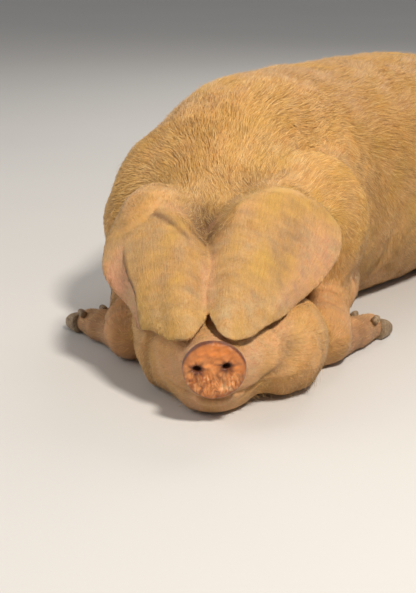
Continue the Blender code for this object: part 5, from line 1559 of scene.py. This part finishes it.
feet = {}
for s, side in ((1, "left"), (-1, "right")):
    f, p = np.array(hp(*FORE[s]["fetlock"])), np.array(hp(*FORE[s]["pastern"]))
    feet["front_" + side] = (p, (p - f)[:2], True)
    f, p = np.array(HIND["fetlock"]) * (s, 1, 1), np.array(HIND["pastern"]) * (s, 1, 1)
    feet["hind_" + side] = (p, (p - f)[:2], False)
for foot, (p, way, turned) in feet.items():
    way = way / np.linalg.norm(way)
    across = np.array([-way[1], way[0]])
    for tag, off in (("a", 0.0185), ("b", -0.0185)):
        at = p[:2] + way * 0.010

        def section(row, at=at, off=off):
            t, w, h, inward = row
            out = []
            for q in range(22):
                a = 2 * math.pi * (q + 0.5) / 22 - math.pi / 2
                cx, cz = math.cos(a), math.sin(a)
                # a flat sole with rounded edges, walls nearly upright, an even crown
                x = np.sign(cx) * abs(cx) ** 0.62
                z = 0.5 + 0.5 * np.sign(cz) * abs(cz) ** (0.38 if cz < 0 else 0.80)
                x *= 1.0 - 0.16 * z * z
                zz = z * h
                zz = 0.0015 + h - zz if turned else zz + 0.0004
                xx = off - math.copysign(inward, off) + x * w
                g = at + way * t + across * xx
                out.append((g[0], g[1], zz))
            return out

        keys = [(0.0008, 0.0155, 0.0392, 0.0), (0.018, 0.0160, 0.0390, 0.0), (0.038, 0.0135, 0.0270, 0.0015),
                (0.0475, 0.0102, 0.0190, 0.003), (0.0512, 0.0068, 0.0120, 0.004)]
        rings = smooth_rings(keys, section, 5)
        node = "hoof_%s_%s" % (foot, tag)

        def along(P, at=at):
            q = P[:, :2] - at
            return np.stack([q @ across, q @ way, P[:, 2]], 1)

        claw = rounded("horn_%s_%s" % (foot, tag), rings, along)
        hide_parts(node)
        spread, zc = (1.35, 0.0490) if turned else (1.73, 0.0160)
        lift = 0.25 if turned else 0.0
        da = p[:2] - way * 0.022

        def dew(row, da=da, off=off, spread=spread, zc=zc, lift=lift):
            t, r = row
            c = da + way * t + across * off * spread
            return [(c[0] + across[0] * r * math.cos(a), c[1] + across[1] * r * math.cos(a), zc + lift * t + 0.92 * r * math.sin(a))
                    for a in [2 * math.pi * q / 14 for q in range(14)]]

        rings = smooth_rings([(0.0006, 0.0079), (0.006, 0.0083), (0.013, 0.0074), (0.0175, 0.0050), (0.0192, 0.0026)], dew, 3)
        d = rounded("spur_%s_%s" % (foot, tag), rings, along)
        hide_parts("dewclaw_%s_%s" % (foot, tag))

# ------------------------------------------------------------------ eyes
for (c, way), side in zip(EYES, ("left", "right")):
    up = np.array([0, 0, 1.0]) - way * way[2]
    up /= np.linalg.norm(up)
    across = np.cross(way, up)
    n, m = 40, 56
    V, G = [], []
    for i in range(n + 1):
        a = math.pi * i / n
        for j in range(m):
            b = 2 * math.pi * j / m
            r = EYE_R * (0.985 + 0.055 * max(0.0, 1 - (a / 0.62) ** 2)) * 0.965
            q = way * math.cos(a) + (across * math.cos(b) + up * math.sin(b)) * math.sin(a)
            V.append(c + q * r)
            # how far from the middle of the gaze, the turn round it, and the reach of the wide pupil
            G.append((a, b / (2 * math.pi), math.hypot(math.sin(a) * math.cos(b) / 1.7, math.sin(a) * math.sin(b))))
            if i in (0, n):
                break
    F = []
    top, bottom = 0, len(V) - 1
    for j in range(m):
        F.append((top, 1 + j, 1 + (j + 1) % m))
        e = 1 + (n - 2) * m
        F.append((bottom, e + (j + 1) % m, e + j))
    for i in range(n - 2):
        for j in range(m):
            a, b = 1 + i * m + j, 1 + i * m + (j + 1) % m
            F.append((a, a + m, b + m, b))
    me = bpy.data.meshes.new("eyeball_" + side)
    me.from_pydata([tuple(v) for v in trunk_of(np.array(V)) + SHIFT], [], F)
    bm = bmesh.new()
    bm.from_mesh(me)
    bmesh.ops.recalc_face_normals(bm, faces=bm.faces)
    bm.to_mesh(me)
    bm.free()
    me.polygons.foreach_set("use_smooth", np.ones(len(me.polygons), bool))
    put(me, "gaze", np.array(G))
    me.materials.append(EYE_LOOK)
    ob = bpy.data.objects.new("eyeball_" + side, me)
    bpy.context.scene.collection.objects.link(ob)
    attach(ob, "root")
    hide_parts("eye_" + side)

# ------------------------------------------------------------------ floor, lights, camera
me = bpy.data.meshes.new("ground")
me.from_pydata([(-40, -40, 0), (40, -40, 0), (40, 40, 0), (-40, 40, 0)], [], [(0, 1, 2, 3)])
me.materials.append(FLOOR_LOOK)
ground = bpy.data.objects.new("ground", me)
bpy.context.scene.collection.objects.link(ground)


def soft_light(name, where, at, size, power, colour=(1, 1, 1)):
    lamp = bpy.data.lights.new(name, "AREA")
    lamp.shape, lamp.size, lamp.energy, lamp.color = "DISK", size, power, colour
    ob = bpy.data.objects.new(name, lamp)
    ob.location = where
    ob.rotation_euler = (Vector(at) - Vector(where)).to_track_quat("-Z", "Y").to_euler()
    bpy.context.scene.collection.objects.link(ob)


soft_light("key", (2.82, -1.60, 3.78), (0.2, -0.4, 0.2), 0.7, 218, (1.0, 0.94, 0.86))
soft_light("fill", (-2.6, -2.4, 2.0), (0.0, -0.3, 0.2), 3.0, 42, (1.0, 0.98, 0.95))
soft_light("back", (-0.8, 3.0, 2.8), (0.0, 0.2, 0.3), 2.4, 50, (1.0, 0.97, 0.93))
world = bpy.data.worlds.new("studio")
bpy.context.scene.world = world
world.use_nodes = True
world.node_tree.nodes["Background"].inputs[0].default_value = (0.96, 0.97, 1.0, 1.0)
world.node_tree.nodes["Background"].inputs[1].default_value = 0.26

cam = bpy.data.cameras.new("camera")
cam.sensor_width = 36.0
cam.lens = 1300 / 593 * 36
cam.clip_start = 0.01
camera = bpy.data.objects.new("camera", cam)
camera.location = trunk_of(np.array([[0.0, -2.036, 0.8564]]))[0] + SHIFT
camera.rotation_euler = (math.pi / 2 - math.radians(17.0), 0.0, TURN)
bpy.context.scene.collection.objects.link(camera)
bpy.context.scene.camera = camera
bpy.context.scene.view_settings.view_transform = "Standard"

bpy.context.view_layer.update()
